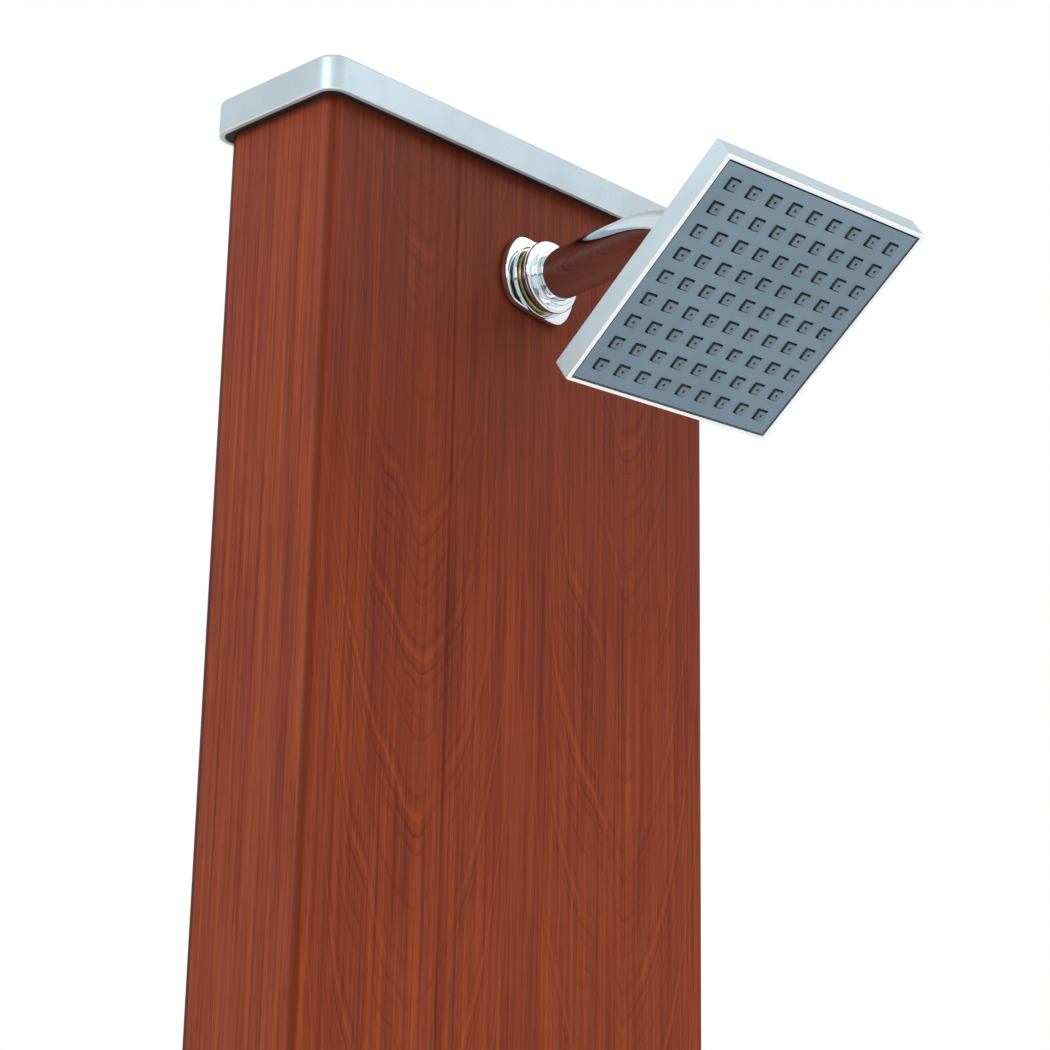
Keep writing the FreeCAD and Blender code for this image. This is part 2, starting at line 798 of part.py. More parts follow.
def lock_nut(label, place, low):
    """Hexagon nut on the half-inch thread."""
    body = new_body(label, place)
    pad(body, hexagon(new_sketch(body, "XY_Plane", low), "lock_nut_flats"), "lock_nut_height")
    pocket(body, circle(new_sketch(body, "XY_Plane"), "nipple_radius + thread_gap"), middle=True)
    return body


def bent_line(body, start, legs):
    """A centre line of straight runs, joined by tangent bends or meeting at a corner. A run is
    (length, heading) and a bend is (radius, turn); start is the first point, across and up."""
    sketch = new_sketch(body, "YZ_Plane")
    spot = FreeCAD.Vector(worth(start[0]), worth(start[1]), 0)
    bends = [number for number, leg in enumerate(legs) if isinstance(leg[1], int)]
    for number, leg in enumerate(legs):
        if number not in bends:
            heading = math.radians(worth(leg[1]))
            after = spot + FreeCAD.Vector(math.cos(heading), math.sin(heading), 0) * worth(leg[0])
            sketch.addGeometry(Part.LineSegment(spot, after))
        else:
            radius, way = worth(leg[0]), leg[1]
            later = math.radians(worth(legs[number + 1][1]))
            side = FreeCAD.Vector(-math.sin(heading), math.cos(heading), 0) * radius * way
            after = spot + side + FreeCAD.Vector(math.sin(later), -math.cos(later), 0) * radius * way
            sketch.addGeometry(arc_through(spot, after, radius, way))
        spot = after
    for number, leg in enumerate(legs):
        if number not in bends:
            hold(sketch, "Distance", (number,), leg[0])
            hold(sketch, "Angle", (number,), leg[1] + " * 1 deg")
            if number > 0 and number - 1 not in bends:
                sketch.addConstraint(Sketcher.Constraint("Coincident", number - 1, 2, number, 1))
        else:
            begin, stop = (1, 2) if leg[1] > 0 else (2, 1)
            sketch.addConstraint(Sketcher.Constraint("Tangent", number - 1, 2, number, begin))
            sketch.addConstraint(Sketcher.Constraint("Tangent", number, stop, number + 1, 1))
            hold(sketch, "Radius", (number,), leg[0])
    hold_point(sketch, 0, 1, start[0], start[1])
    return sketch


def tube(body, spine, role, height, outer, inner, corners="Transformed"):
    """Sweeps a round tube along a centre line, from its two radii."""
    document.recompute()
    edges = ["Edge%d" % (number + 1) for number in range(len(spine.Shape.Edges))]
    for kind, radius in (("PartDesign::AdditivePipe", outer), ("PartDesign::SubtractivePipe", inner)):
        feature = body.newObject(kind, body.Label + "_tube")
        feature.Profile = circle(new_sketch(body, role, height), radius)
        feature.Spine = (spine, edges)
        feature.Transition = corners
    return feature


def shower_arm(tip, bead):
    """Bent tube with a bead that the collar draws against the union's seal."""
    body = new_body("shower_arm", on_front(ARM_HEIGHT))
    start = f"{tip} + union_seal"
    spine = bent_line(body, (ZERO, start), [
        (f"arm_start - ( {start} )", "90"), ("arm_rise_bend", -1),
        ("arm_run", "( 90 - arm_rise )"), ("arm_bend", 1),
        ("arm_to_ball - ball_shoulder", "( 90 + arm_dip )")])
    tube(body, spine, "XY_Plane", start, "arm_radius", "arm_radius - arm_wall")
    rim = circle(new_sketch(body, "XY_Plane", start), "bead_radius")
    circle(rim, "arm_radius - arm_wall / 2")
    pad(body, rim, "bead_thickness - thread_gap")
    return body


def ball_stud():
    """Ball whose neck flares to a tail that screws into the arm's end."""
    neck = "sqrt(ball_radius ^ 2 - ball_shank ^ 2 )"
    mouth = "0 - sqrt(ball_radius ^ 2 - ball_bore ^ 2 )"
    tail = "arm_radius - arm_wall - thread_gap"
    end = "ball_shoulder + ball_tail"
    return turned("ball_stud", arm_end(), [
        ("ball_bore", mouth, "ball_radius", 1), ("ball_radius", ZERO, "ball_radius", 1),
        ("ball_shank", neck), ("ball_shank", "ball_shoulder - ball_shoulder_height"),
        ("arm_radius", "ball_shoulder"), (tail, "ball_shoulder"), (tail, end), ("ball_bore", end)])


# ---------------------------------------------------------------- head


def ball_seat():
    """Slippery ring that the ball turns on, in the head's socket."""
    inner = "( ball_radius + ball_gap )"
    outer = f"( {inner} + seat_thickness )"
    return turned("ball_seat", head_place(), [
        ("seat_mouth", f"0 - sqrt({inner} ^ 2 - seat_mouth ^ 2 )", inner, 1),
        (f"sqrt({inner} ^ 2 - seat_top ^ 2 )", "0 - seat_top"),
        (f"sqrt({outer} ^ 2 - seat_top ^ 2 )", "0 - seat_top", outer, -1),
        ("seat_mouth", f"0 - sqrt({outer} ^ 2 - seat_mouth ^ 2 )")])


def ball_nut():
    """Fluted nut whose lip holds the ball in the socket."""
    body = new_body("ball_nut", head_place())
    inner = "ball_radius + ball_gap"
    lip = f"sqrt(( {inner} ) ^ 2 - ball_nut_lip ^ 2 )"
    turn(body, [
        ("ball_nut_bore", "0 - ball_nut_foot"), ("ball_nut_radius", "0 - ball_nut_foot"),
        ("ball_nut_radius", "ball_nut_top - ball_nut_bevel"),
        ("ball_nut_radius - ball_nut_bevel", "ball_nut_top"),
        ("ball_nut_flare", "ball_nut_top"), ("ball_nut_lip", lip, inner, -1),
        (inner, ZERO), ("ball_nut_bore", ZERO)])
    flute = circle(new_sketch(body, "XY_Plane"), "flute_radius",
                   "ball_nut_radius + flute_radius - flute_depth", ZERO)
    cut = pocket(body, flute, middle=True)
    pattern = body.newObject("PartDesign::PolarPattern", "ball_nut_flutes")
    pattern.Originals = [cut]
    pattern.Axis = (origin_item(body, "Z_Axis"), [""])
    pattern.Angle = 360
    pattern.setExpression("Occurrences", named("flute_count"))
    body.Tip = pattern
    return body


def head_shell():
    """Square box open at the face, with the socket for the ball on its back."""
    body = new_body("head_shell", head_place())
    pad(body, centred_box(new_sketch(body, "XY_Plane", "0 - face_to_ball"), "head_side", "head_side",
                          "head_edge"), "head_thickness")
    back = "0 - face_to_ball + head_thickness"
    round_edges(body, "head_edge", lambda edge: at_height(back, edge))
    pocket(body, centred_box(new_sketch(body, "XY_Plane", "0 - face_to_ball"), "head_side - 2 * head_wall",
                             "head_side - 2 * head_wall", "head_edge"),
           "head_thickness - head_wall", back=True)
    socket = "ball_radius + ball_gap + seat_thickness + ball_gap"
    spigot = "spigot_radius + spigot_gap"
    turn(body, [
        (spigot, f"{back} - head_wall / 2"), ("neck_foot + neck_flare", f"{back} - head_wall / 2"),
        ("neck_foot + neck_flare", back), ("neck_foot", f"{back} + neck_flare_height"),
        ("neck_foot", f"{back} + neck_foot_height"), ("neck_radius", f"{back} + neck_foot_height"),
        ("neck_radius", "0 - neck_top"),
        (f"sqrt(( {socket} ) ^ 2 - neck_top ^ 2 )", "0 - neck_top", socket, -1),
        (spigot, f"0 - sqrt(( {socket} ) ^ 2 - ( {spigot} ) ^ 2 )")])
    pocket(body, circle(new_sketch(body, "XY_Plane", back), spigot), "2 * head_wall", middle=True)
    return body


def head_face():
    """Plate with a square window for each nozzle."""
    body = new_body("head_face", head_place())
    side = "head_side - 2 * head_wall - 2 * face_gap"
    low = "0 - face_to_ball + face_recess"
    pad(body, centred_box(new_sketch(body, "XY_Plane", low), side, side, "head_edge"), "face_thickness")
    window = outline(new_sketch(body, "XY_Plane", low), window_corners("nozzle_window"))
    cut = pocket(body, window, "face_thickness", back=True)
    grid_of(body, [cut], "nozzles_across", "nozzle_pitch")
    return body


def window_corners(side):
    """The square about the first nozzle of the grid."""
    low = f"{FIRST_NOZZLE} - {side} / 2"
    high = f"{FIRST_NOZZLE} + {side} / 2"
    return [(low, low), (high, low), (high, high), (low, high)]


def nozzle_mat():
    """Rubber mat behind the face, with a pierced square nozzle in each window."""
    body = new_body("nozzle_mat", head_place())
    side = "head_side - 2 * head_wall - 2 * face_gap"
    low = "0 - face_to_ball + face_recess + face_thickness"
    pad(body, centred_box(new_sketch(body, "XY_Plane", low), side, side, "head_edge"), "mat_thickness")
    nub = pad(body, outline(new_sketch(body, "XY_Plane", low), window_corners("nozzle_side")),
              "face_thickness - nozzle_sink", back=True)
    corners = []
    for step in range(6):
        corners.append((f"{FIRST_NOZZLE} + nozzle_hole * cos({60 * step} deg )",
                        f"{FIRST_NOZZLE} + nozzle_hole * sin({60 * step} deg )"))
    cut = pocket(body, outline(new_sketch(body, "XY_Plane", low), corners), middle=True)
    grid_of(body, [nub, cut], "nozzles_across", "nozzle_pitch")
    return body


def inner_cover():
    """Tray that presses on the mat's rim and leads the water in from the neck."""
    body = new_body("inner_cover", head_place())
    side = "head_side - 2 * head_wall - 2 * face_gap"
    low = "0 - face_to_ball + face_recess + face_thickness + mat_thickness"
    pad(body, centred_box(new_sketch(body, "XY_Plane", low), side, side, "head_edge"), "inner_cover_height")
    pad(body, circle(new_sketch(body, "XY_Plane", low), "spigot_radius"),
        "inner_cover_height + spigot_height")
    pocket(body, square(new_sketch(body, "XY_Plane", low), f"{side} - 2 * inner_rim"),
           "inner_cover_height - inner_cover_wall", back=True)
    pocket(body, circle(new_sketch(body, "XY_Plane", low), "spigot_bore"), back=True)
    return body


def inlet_filter():
    """Filter disc in a rubber rim on top of the inner cover's spigot."""
    low = ("0 - face_to_ball + face_recess + face_thickness + mat_thickness"
           " + inner_cover_height + spigot_height")
    body = new_body("inlet_filter", head_place())
    turn(body, [(ZERO, low), ("spigot_radius", low), ("spigot_radius", f"{low} + filter_thickness"),
                ("spigot_bore", f"{low} + filter_thickness"),
                ("spigot_bore", f"{low} + filter_thickness / 3"),
                (ZERO, f"{low} + filter_thickness / 3")])
    return body


# ---------------------------------------------------------------- valve and lever


def valve():
    """Brass valve behind the front wall, with its clamping nut, rose and cartridge."""
    place = on_front("valve_height")
    body = new_body("valve_body", at(ZERO, ZERO, "valve_height", OUT_OF_FRONT))
    turn(body, [
        (ZERO, "0 - barrel_reach"), ("nipple_radius", "0 - barrel_reach"),
        ("nipple_radius", "0 - barrel_half"),
        ("barrel_radius", "0 - barrel_half + barrel_bevel"),
        ("barrel_radius", "barrel_half - barrel_bevel"),
        ("nipple_radius", "barrel_half"), ("nipple_radius", "barrel_reach"), (ZERO, "barrel_reach")],
        "XY_Plane")
    wall = "post_depth / 2 - post_wall"
    pad(body, circle(new_sketch(body, "XY_Plane", f"{wall} - valve_shoulder_height"), "valve_shoulder"),
        "valve_shoulder_height")
    pad(body, circle(new_sketch(body, "XY_Plane"), "valve_nose"), "post_depth / 2 + valve_nose_out")
    pocket(body, circle(new_sketch(body, "XZ_Plane"), "pipe_bore"), middle=True)
    tip = "post_depth / 2 + valve_nose_out"
    pocket(body, circle(new_sketch(body, "XY_Plane", tip), "cartridge_radius + thread_gap"),
           "cartridge_depth + valve_nose_out")

    nut = new_body("valve_nut", place)
    pad(nut, hexagon(new_sketch(nut, "XY_Plane"), "valve_nut_flats"), "valve_nut_height")
    pocket(nut, circle(new_sketch(nut, "XY_Plane"), "valve_nose + thread_gap"), back=True)

    hole = "valve_nose + rose_gap"
    underside = "rose_height - rose_wall"
    turned("valve_rose", place, [
        ("rose_radius - rose_wall", ZERO), ("rose_radius", ZERO), ("rose_radius", "rose_rim"),
        ("rose_shoulder_radius", "rose_shoulder_height"), ("rose_flat_radius", "rose_height"),
        (hole, "rose_height"), (hole, underside), ("rose_flat_radius", underside),
        ("rose_shoulder_radius - rose_wall", "rose_shoulder_height - rose_wall"),
        ("rose_radius - rose_wall", "rose_rim - rose_wall / 2")])

    depth = "0 - cartridge_depth"
    head = "valve_nose_out + cartridge_head_height"
    neck = f"{head} + cartridge_neck_height"
    hole = "spindle_radius + fit_gap"
    turned("valve_cartridge", place, [
        (ZERO, depth), ("cartridge_radius", depth), ("cartridge_radius", "valve_nose_out"),
        ("cartridge_head", "valve_nose_out"), ("cartridge_head", head), ("cartridge_neck", head),
        ("cartridge_neck", neck), (hole, neck), (hole, "0 - spindle_inside - fit_gap"),
        (ZERO, "0 - spindle_inside - fit_gap")])


def lever():
    """Spindle, handle, screw and plug that turn together."""
    place = on_front("valve_height")
    neck = "valve_nose_out + cartridge_head_height + cartridge_neck_height"
    top = f"{neck} + spindle_grip"
    turned("valve_spindle", place, [
        (ZERO, "0 - spindle_inside"), ("spindle_radius", "0 - spindle_inside"),
        ("spindle_radius", top), ("screw_radius + fit_gap", top),
        ("screw_radius + fit_gap", f"{top} - screw_length"), (ZERO, f"{top} - screw_length")])

    body = new_body("lever_handle", place)
    foot = "rose_height + hub_gap"
    crown = f"{foot} + hub_height"
    hole = "spindle_radius + fit_gap"
    inside = "cartridge_head + hub_gap"
    turn(body, [
        (inside, foot), ("hub_radius", foot), ("hub_radius", f"{crown} - hub_round", "hub_round", 1),
        ("hub_radius - hub_round", crown), ("plug_radius + thread_gap", crown),
        ("plug_radius + thread_gap", f"{top} + screw_head_height"),
        ("screw_head_radius + thread_gap", f"{top} + screw_head_height"),
        ("screw_head_radius + thread_gap", top), (hole, top),
        (hole, f"{neck} + hub_gap"), (inside, f"{neck} + hub_gap")])
    root = circle(new_sketch(body, "XZ_Plane", "lever_start"), "lever_root", ZERO, f"{foot} + lever_out")
    tip = circle(new_sketch(body, "XZ_Plane", "lever_length"), "lever_tip", ZERO, f"{foot} + lever_out")
    loft = body.newObject("PartDesign::AdditiveLoft", "lever_loft")
    loft.Profile = root
    loft.Sections = [tip]
    end = worth("0 - lever_length")
    round_edges(body, "lever_end_round", lambda edge: edge.BoundBox.YMax < end + TOLERANCE)

    turned("lever_screw", place, [
        (ZERO, f"{top} - screw_length + screw_tip_gap"),
        ("screw_radius", f"{top} - screw_length + screw_tip_gap"),
        ("screw_radius", top), ("screw_head_radius", top),
        ("screw_head_radius", f"{top} + screw_head_height"),
        (ZERO, f"{top} + screw_head_height")])
    turned("lever_plug", place, [
        (ZERO, f"{crown} - plug_height"), ("plug_radius", f"{crown} - plug_height"),
        ("plug_radius", crown), ("plug_radius - plug_crown", f"{crown} + plug_proud"),
        (ZERO, f"{crown} + plug_proud")])


# ---------------------------------------------------------------- inside plumbing


def elbow(label, place):
    """Right-angle elbow: a socket along Z and a threaded tail along -Y."""
    body = new_body(label, place)
    spine = bent_line(body, ("0 - elbow_leg_down", ZERO), [("elbow_leg_down", "0"), (LEG_IN, "90")])
    tube(body, spine, "XZ_Plane", "elbow_leg_down", "nipple_radius", "pipe_bore", "Right corner")
    socket_low = f"{LEG_IN} - elbow_socket_length / 2"
    pad(body, circle(new_sketch(body, "XY_Plane", socket_low), "elbow_socket_radius"), "elbow_socket_length")
    pocket(body, circle(new_sketch(body, "XY_Plane", LEG_IN), "nipple_radius + thread_gap"),
           "elbow_socket_length", back=True)
    pocket(body, circle(new_sketch(body, "XY_Plane", LEG_IN), "pipe_bore"), "elbow_socket_length")
    return body


def hose_nut(label, place):
    """Hexagon union nut on a hose's end; its lip holds the hose's collar."""
    body = new_body(label, place)
    pad(body, hexagon(new_sketch(body, "XY_Plane", "0 - hose_nut_lip"), "hose_nut_flats"), "hose_nut_height")
    pocket(body, circle(new_sketch(body, "XY_Plane"), "nipple_radius + thread_gap"), back=True)
    pocket(body, circle(new_sketch(body, "XY_Plane"), "hose_radius + thread_gap"), middle=True)
    return body


def hose(label, low, high):
    """Straight braided hose from one union face to the other."""
    body = new_body(label, at(ZERO, ZERO, low))
    sketch = circle(new_sketch(body, "XY_Plane"), "hose_radius")
    circle(sketch, "hose_bore")
    pad(body, sketch, f"{high} - ( {low} )")
    return body


def plumbing():
    """Hoses, union nuts and elbows on the column's centre line."""
    elbow("arm_elbow", at(ZERO, ZERO, ARM_HEIGHT, OUT_OF_FRONT))
    riser_top = f"{ARM_HEIGHT} - elbow_leg_down"
    riser_foot = "valve_height + barrel_reach"
    hose("riser_hose", riser_foot, riser_top)
    hose_nut("riser_top_nut", at(ZERO, ZERO, riser_top))
    hose_nut("riser_foot_nut", at(ZERO, ZERO, riser_foot, UPSIDE_DOWN))
    supply_top = "valve_height - barrel_reach"
    supply_foot = "inlet_height + elbow_leg_down"
    hose("supply_hose", supply_foot, supply_top)
    hose_nut("supply_top_nut", at(ZERO, ZERO, supply_top))
    hose_nut("supply_foot_nut", at(ZERO, ZERO, supply_foot, UPSIDE_DOWN))


def inlet():
    """Threaded inlet through the back wall, with its seal, washer, nut and elbow."""
    place = on_back("inlet_height")
    bore = "nipple_radius + thread_gap"
    ring("inlet_seal", place, ZERO, "inlet_seal_height", bore, "inlet_collar_radius")
    collar = "inlet_seal_height + inlet_collar_height"
    turned("inlet_nipple", place, [
        ("nipple_bore", "0 - nipple_reach"), ("nipple_radius", "0 - nipple_reach"),
        ("nipple_radius", "inlet_seal_height"), ("inlet_collar_radius", "inlet_seal_height"),
        ("inlet_collar_radius", collar), ("nipple_radius", collar),
        ("nipple_radius", f"{collar} + inlet_reach"), ("nipple_bore", f"{collar} + inlet_reach")])
    inside = "0 - post_wall"
    ring("inlet_washer", place, f"{inside} - lock_washer_height", inside, bore, "lock_washer_radius")
    lock_nut("inlet_nut", place, f"{inside} - lock_washer_height - lock_nut_height")
    elbow("inlet_elbow", at(ZERO, ZERO, "inlet_height", OUT_OF_BACK))


# ---------------------------------------------------------------- the whole


def build():
    post_profile()
    top_cap()
    cap_seal()
    cap_screws()
    base_plate()
    bracket("right_bracket", NO_TURN)
    bracket("left_bracket", FreeCAD.Rotation(Z_AXIS, 180))
    bracket_bolts()
    side_screws()
    base_cover()
    tip, bead = wall_union()
    shower_arm(tip, bead)
    ball_stud()
    ball_seat()
    ball_nut()
    head_shell()
    head_face()
    nozzle_mat()
    inner_cover()
    inlet_filter()
    valve()
    lever()
    plumbing()
    inlet()
    document.recompute()


def check():
    """Stops where a feature failed, a piece is not one valid shape, or a cut removed nothing."""
    faults = []
    for item in document.Objects:
        if "Invalid" in item.State or "Error" in item.State:
            faults.append("%s did not build" % item.Label)
        elif item.TypeId == "PartDesign::Pocket":
            if item.Shape.Volume >= item.BaseFeature.Shape.Volume - TOLERANCE:
                faults.append("%s cuts nothing" % item.Label)
    for node in NODES:
        if node.Shape.isNull() or not node.Shape.isValid() or node.Shape.Volume <= 0:
            faults.append("%s has no valid shape" % node.Label)
        elif node.TypeId == "PartDesign::Body" and len(node.Shape.Solids) != 1:
            faults.append("%s is not one solid" % node.Label)
    if faults:
        raise RuntimeError("; ".join(faults))


build()
check()
os.makedirs("parts", exist_ok=True)
for node in NODES:
    node.Shape.exportStep("parts/%s.step" % node.Label)
    print("%-18s %2d solid(s) %12.1f mm3" % (node.Label, len(node.Shape.Solids), node.Shape.Volume))
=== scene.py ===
"""Looks of an outdoor shower post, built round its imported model.

The column wears a printed wood film, the cap is satin silver, and the arm, its wall
union and the square head are chrome. Sizes are in millimetres, and every mesh is laid
down in metres in the part's own frame: +Z up, the front of the post along -Y.
"""

from __future__ import annotations

import json
import logging
import math
from dataclasses import dataclass, field
from enum import Enum
from typing import Dict, List, Optional, Sequence, Tuple, Union

import bmesh
import bpy
from mathutils import Matrix, Vector


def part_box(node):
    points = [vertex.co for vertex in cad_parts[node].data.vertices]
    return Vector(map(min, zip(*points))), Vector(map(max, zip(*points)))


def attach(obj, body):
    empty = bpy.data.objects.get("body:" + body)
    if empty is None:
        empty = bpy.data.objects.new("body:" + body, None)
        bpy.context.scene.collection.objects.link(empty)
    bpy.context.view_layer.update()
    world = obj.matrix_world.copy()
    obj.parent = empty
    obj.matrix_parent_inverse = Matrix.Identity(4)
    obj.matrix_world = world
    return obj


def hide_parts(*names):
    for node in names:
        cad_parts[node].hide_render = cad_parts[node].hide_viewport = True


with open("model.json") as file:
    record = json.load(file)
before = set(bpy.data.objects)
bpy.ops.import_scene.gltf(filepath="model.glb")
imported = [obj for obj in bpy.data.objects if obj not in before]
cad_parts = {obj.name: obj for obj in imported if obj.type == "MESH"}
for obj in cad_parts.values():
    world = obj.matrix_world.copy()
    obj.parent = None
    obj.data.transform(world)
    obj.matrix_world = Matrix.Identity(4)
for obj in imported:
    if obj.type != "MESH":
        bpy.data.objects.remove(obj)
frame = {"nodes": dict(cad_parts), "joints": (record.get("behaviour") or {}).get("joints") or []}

log = logging.getLogger("shower_post")

MM = 0.001
TINY = 1e-9
WELD = 1e-5
MOST_OF_AN_EDGE = 0.49
SHARP_EDGE = 32.0
SQUARE = ((-1, -1), (1, -1), (1, 1), (-1, 1))

Colour = Tuple[float, float, float]
Point2 = Tuple[float, float]
Ring = List[Tuple[float, float, float]]
Path = List[Tuple[Vector, float]]
Number = Union[float, "Shade"]


def srgb(red: int, green: int, blue: int) -> Colour:
    """Turns a colour as seen on a screen into linear light.

    Args:
        red: Red from 0 to 255.
        green: Green from 0 to 255.
        blue: Blue from 0 to 255.

    Returns:
        The three linear values.
    """
    def linear(step: int) -> float:
        """One channel, by the screen's own curve."""
        part = step / 255
        return part / 12.92 if part <= 0.04045 else ((part + 0.055) / 1.055) ** 2.4

    return linear(red), linear(green), linear(blue)


# ---------------------------------------------------------------- shader maths


class Shade:
    """A number that varies over a surface, with Python's own arithmetic."""

    def __init__(self, tree: "ShaderTree", socket: bpy.types.NodeSocket) -> None:
        """Wraps an output socket of a tree that holds a number."""
        self.tree = tree
        self.socket = socket

    def __add__(self, other: Number) -> "Shade":
        """Sum."""
        return self.tree.maths("ADD", self, other)

    __radd__ = __add__

    def __mul__(self, other: Number) -> "Shade":
        """Product."""
        return self.tree.maths("MULTIPLY", self, other)

    __rmul__ = __mul__

    def __sub__(self, other: Number) -> "Shade":
        """Difference."""
        return self.tree.maths("SUBTRACT", self, other)

    def __rsub__(self, other: Number) -> "Shade":
        """Difference from a plain number."""
        return self.tree.maths("SUBTRACT", other, self)

    def __truediv__(self, other: Number) -> "Shade":
        """Quotient."""
        return self.tree.maths("DIVIDE", self, other)

    def __neg__(self) -> "Shade":
        """The same number with the other sign."""
        return self.tree.maths("MULTIPLY", self, -1.0)

    def __abs__(self) -> "Shade":
        """Size without sign."""
        return self.tree.maths("ABSOLUTE", self)

    def __gt__(self, other: Number) -> "Shade":
        """1 where this number is the larger, and 0 elsewhere."""
        return self.tree.maths("GREATER_THAN", self, other)

    def __lt__(self, other: Number) -> "Shade":
        """1 where this number is the smaller, and 0 elsewhere."""
        return self.tree.maths("LESS_THAN", self, other)

    def step(self, low: float, high: float) -> "Shade":
        """A soft step from 0, where the number is low, to 1, where it is high."""
        node = self.tree.node("ShaderNodeMapRange", {"interpolation_type": "SMOOTHSTEP"}, {
            "Value": self, "From Min": low, "From Max": high})
        return Shade(self.tree, node.outputs["Result"])


class ShaderTree:
    """A node tree under construction."""

    def __init__(self, nodes_owner: Union[bpy.types.Material, bpy.types.World]) -> None:
        """Empties the tree of a material or world."""
        nodes_owner.use_nodes = True
        self.tree = nodes_owner.node_tree
        self.tree.nodes.clear()

    def feed(self, socket: bpy.types.NodeSocket, value: object) -> None:
        """Sets an input to a number or colour, or links it to a Shade or socket."""
        if isinstance(value, Shade):
            self.tree.links.new(value.socket, socket)
        elif isinstance(value, bpy.types.NodeSocket):
            self.tree.links.new(value, socket)
        elif socket.type == "RGBA":
            socket.default_value = (*value, 1.0)
        else:
            socket.default_value = value

    def node(self, kind: str, settings: Optional[dict] = None,
             inputs: Optional[dict] = None) -> bpy.types.Node:
        """Lays a node.

        Args:
            kind: The node's type.
            settings: Its properties.
            inputs: Values or links of its sockets, by name or number.

        Returns:
            The node.
        """
        made = self.tree.nodes.new(kind)
        for name, value in (settings or {}).items():
            setattr(made, name, value)
        for name, value in (inputs or {}).items():
            self.feed(made.inputs[name], value)
        return made

    def maths(self, operation: str, first: Number, second: Number = 0.0) -> Shade:
        """Adds a Math node and returns its result."""
        node = self.node("ShaderNodeMath", {"operation": operation}, {0: first, 1: second})
        return Shade(self, node.outputs[0])

    def mix(self, factor: Number, under: object, over: object) -> bpy.types.NodeSocket:
        """Lays one colour over another, as far as the factor says."""
        node = self.node("ShaderNodeMix", {"data_type": "RGBA"}, {0: factor, 6: under, 7: over})
        return node.outputs[2]

    def scaled(self, vector: bpy.types.NodeSocket, scale: Sequence[float]) -> bpy.types.NodeSocket:
        """Multiplies a vector's three parts by three numbers."""
        node = self.node("ShaderNodeVectorMath", {"operation": "MULTIPLY"}, {0: vector, 1: scale})
        return node.outputs[0]

    def vector(self, across: Number, along: Number, up: Number) -> bpy.types.NodeSocket:
        """Joins three numbers into a vector."""
        node = self.node("ShaderNodeCombineXYZ", None, {0: across, 1: along, 2: up})
        return node.outputs[0]

    def parts(self, vector: bpy.types.NodeSocket) -> Tuple[Shade, Shade, Shade]:
        """Splits a vector into its three numbers."""
        node = self.node("ShaderNodeSeparateXYZ", None, {0: vector})
        return tuple(Shade(self, socket) for socket in node.outputs)

    def place(self) -> bpy.types.NodeSocket:
        """The point of the surface, in millimetres of the part's frame."""
        node = self.node("ShaderNodeTexCoord")
        return self.scaled(node.outputs["Object"], (1 / MM,) * 3)

    def noise(self, vector: bpy.types.NodeSocket, scale: float = 1.0, detail: float = 2.0,
              roughness: float = 0.5) -> Shade:
        """Smooth noise about 0.5, read at a vector."""
        node = self.node("ShaderNodeTexNoise", None, {
            "Vector": vector, "Scale": scale, "Detail": detail, "Roughness": roughness})
        return Shade(self, node.outputs["Fac"])


class Paint(ShaderTree):
    """A material with one principled shader."""

    def __init__(self, name: str) -> None:
        """Starts the material."""
        self.material = bpy.data.materials.new(name)
        super().__init__(self.material)
        self.shader = self.node("ShaderNodeBsdfPrincipled")
        self.output = self.node("ShaderNodeOutputMaterial")
        self.tree.links.new(self.shader.outputs[0], self.output.inputs["Surface"])

    def finish(self, inputs: Dict[str, object]) -> bpy.types.Material:
        """Sets the shader's sockets to values or links, and returns the material."""
        for name, value in inputs.items():
            self.feed(self.shader.inputs[name], value)
        return self.material

    def bump(self, height: Shade, strength: float, distance: float) -> bpy.types.NodeSocket:
        """A normal that follows a height from 0 to 1, where 1 stands distance millimetres high."""
        node = self.node("ShaderNodeBump", None, {
            "Height": height, "Strength": strength, "Distance": distance * MM})
        return node.outputs["Normal"]


# ---------------------------------------------------------------- finishes


@dataclass(frozen=True)
class Coat:
    """A finish: its material's name, its slot in the record and its main colour."""

    name: str
    slot: str
    colour: Colour

    def make(self) -> bpy.types.Material:
        """Lays the finish's nodes."""
        paint = Paint(self.name)
        return paint.finish(self.inputs(paint, paint.place()))

    def inputs(self, paint: Paint, spot: bpy.types.NodeSocket) -> Dict[str, object]:
        """What the shader's sockets take; each finish says it in its own way.

        Args:
            paint: The material under construction.
            spot: The point of the surface, in millimetres.

        Returns:
            Values or links, by the sockets' names.
        """
        raise NotImplementedError


@dataclass(frozen=True)
class Grain:
    """Noise drawn out along the wood: how fast it changes across and up, and its own seed."""

    across: float
    up: float
    seed: float
    detail: float = 2.0
    roughness: float = 0.5

    def read(self, paint: Paint, sheet: Shade, height: Shade) -> Shade:
        """The noise over the sheet."""
        spot = paint.vector(sheet * self.across, height * self.up, self.seed)
        return paint.noise(spot, detail=self.detail, roughness=self.roughness)


@dataclass(frozen=True)
class Streak:
    """A colour laid where a grain is high, or where it is low."""

    grain: str
    begin: float
    full: float
    cover: float
    colour: str
    where_low: bool = False


@dataclass(frozen=True)
class RingLine:
    """Lines that follow the growth rings: how many to a ring, how wide, and under which mask."""

    count: float
    shift: float
    width: float
    mask: str
    cover: float
    colour: str = "deep"
    wander: float = 0.0


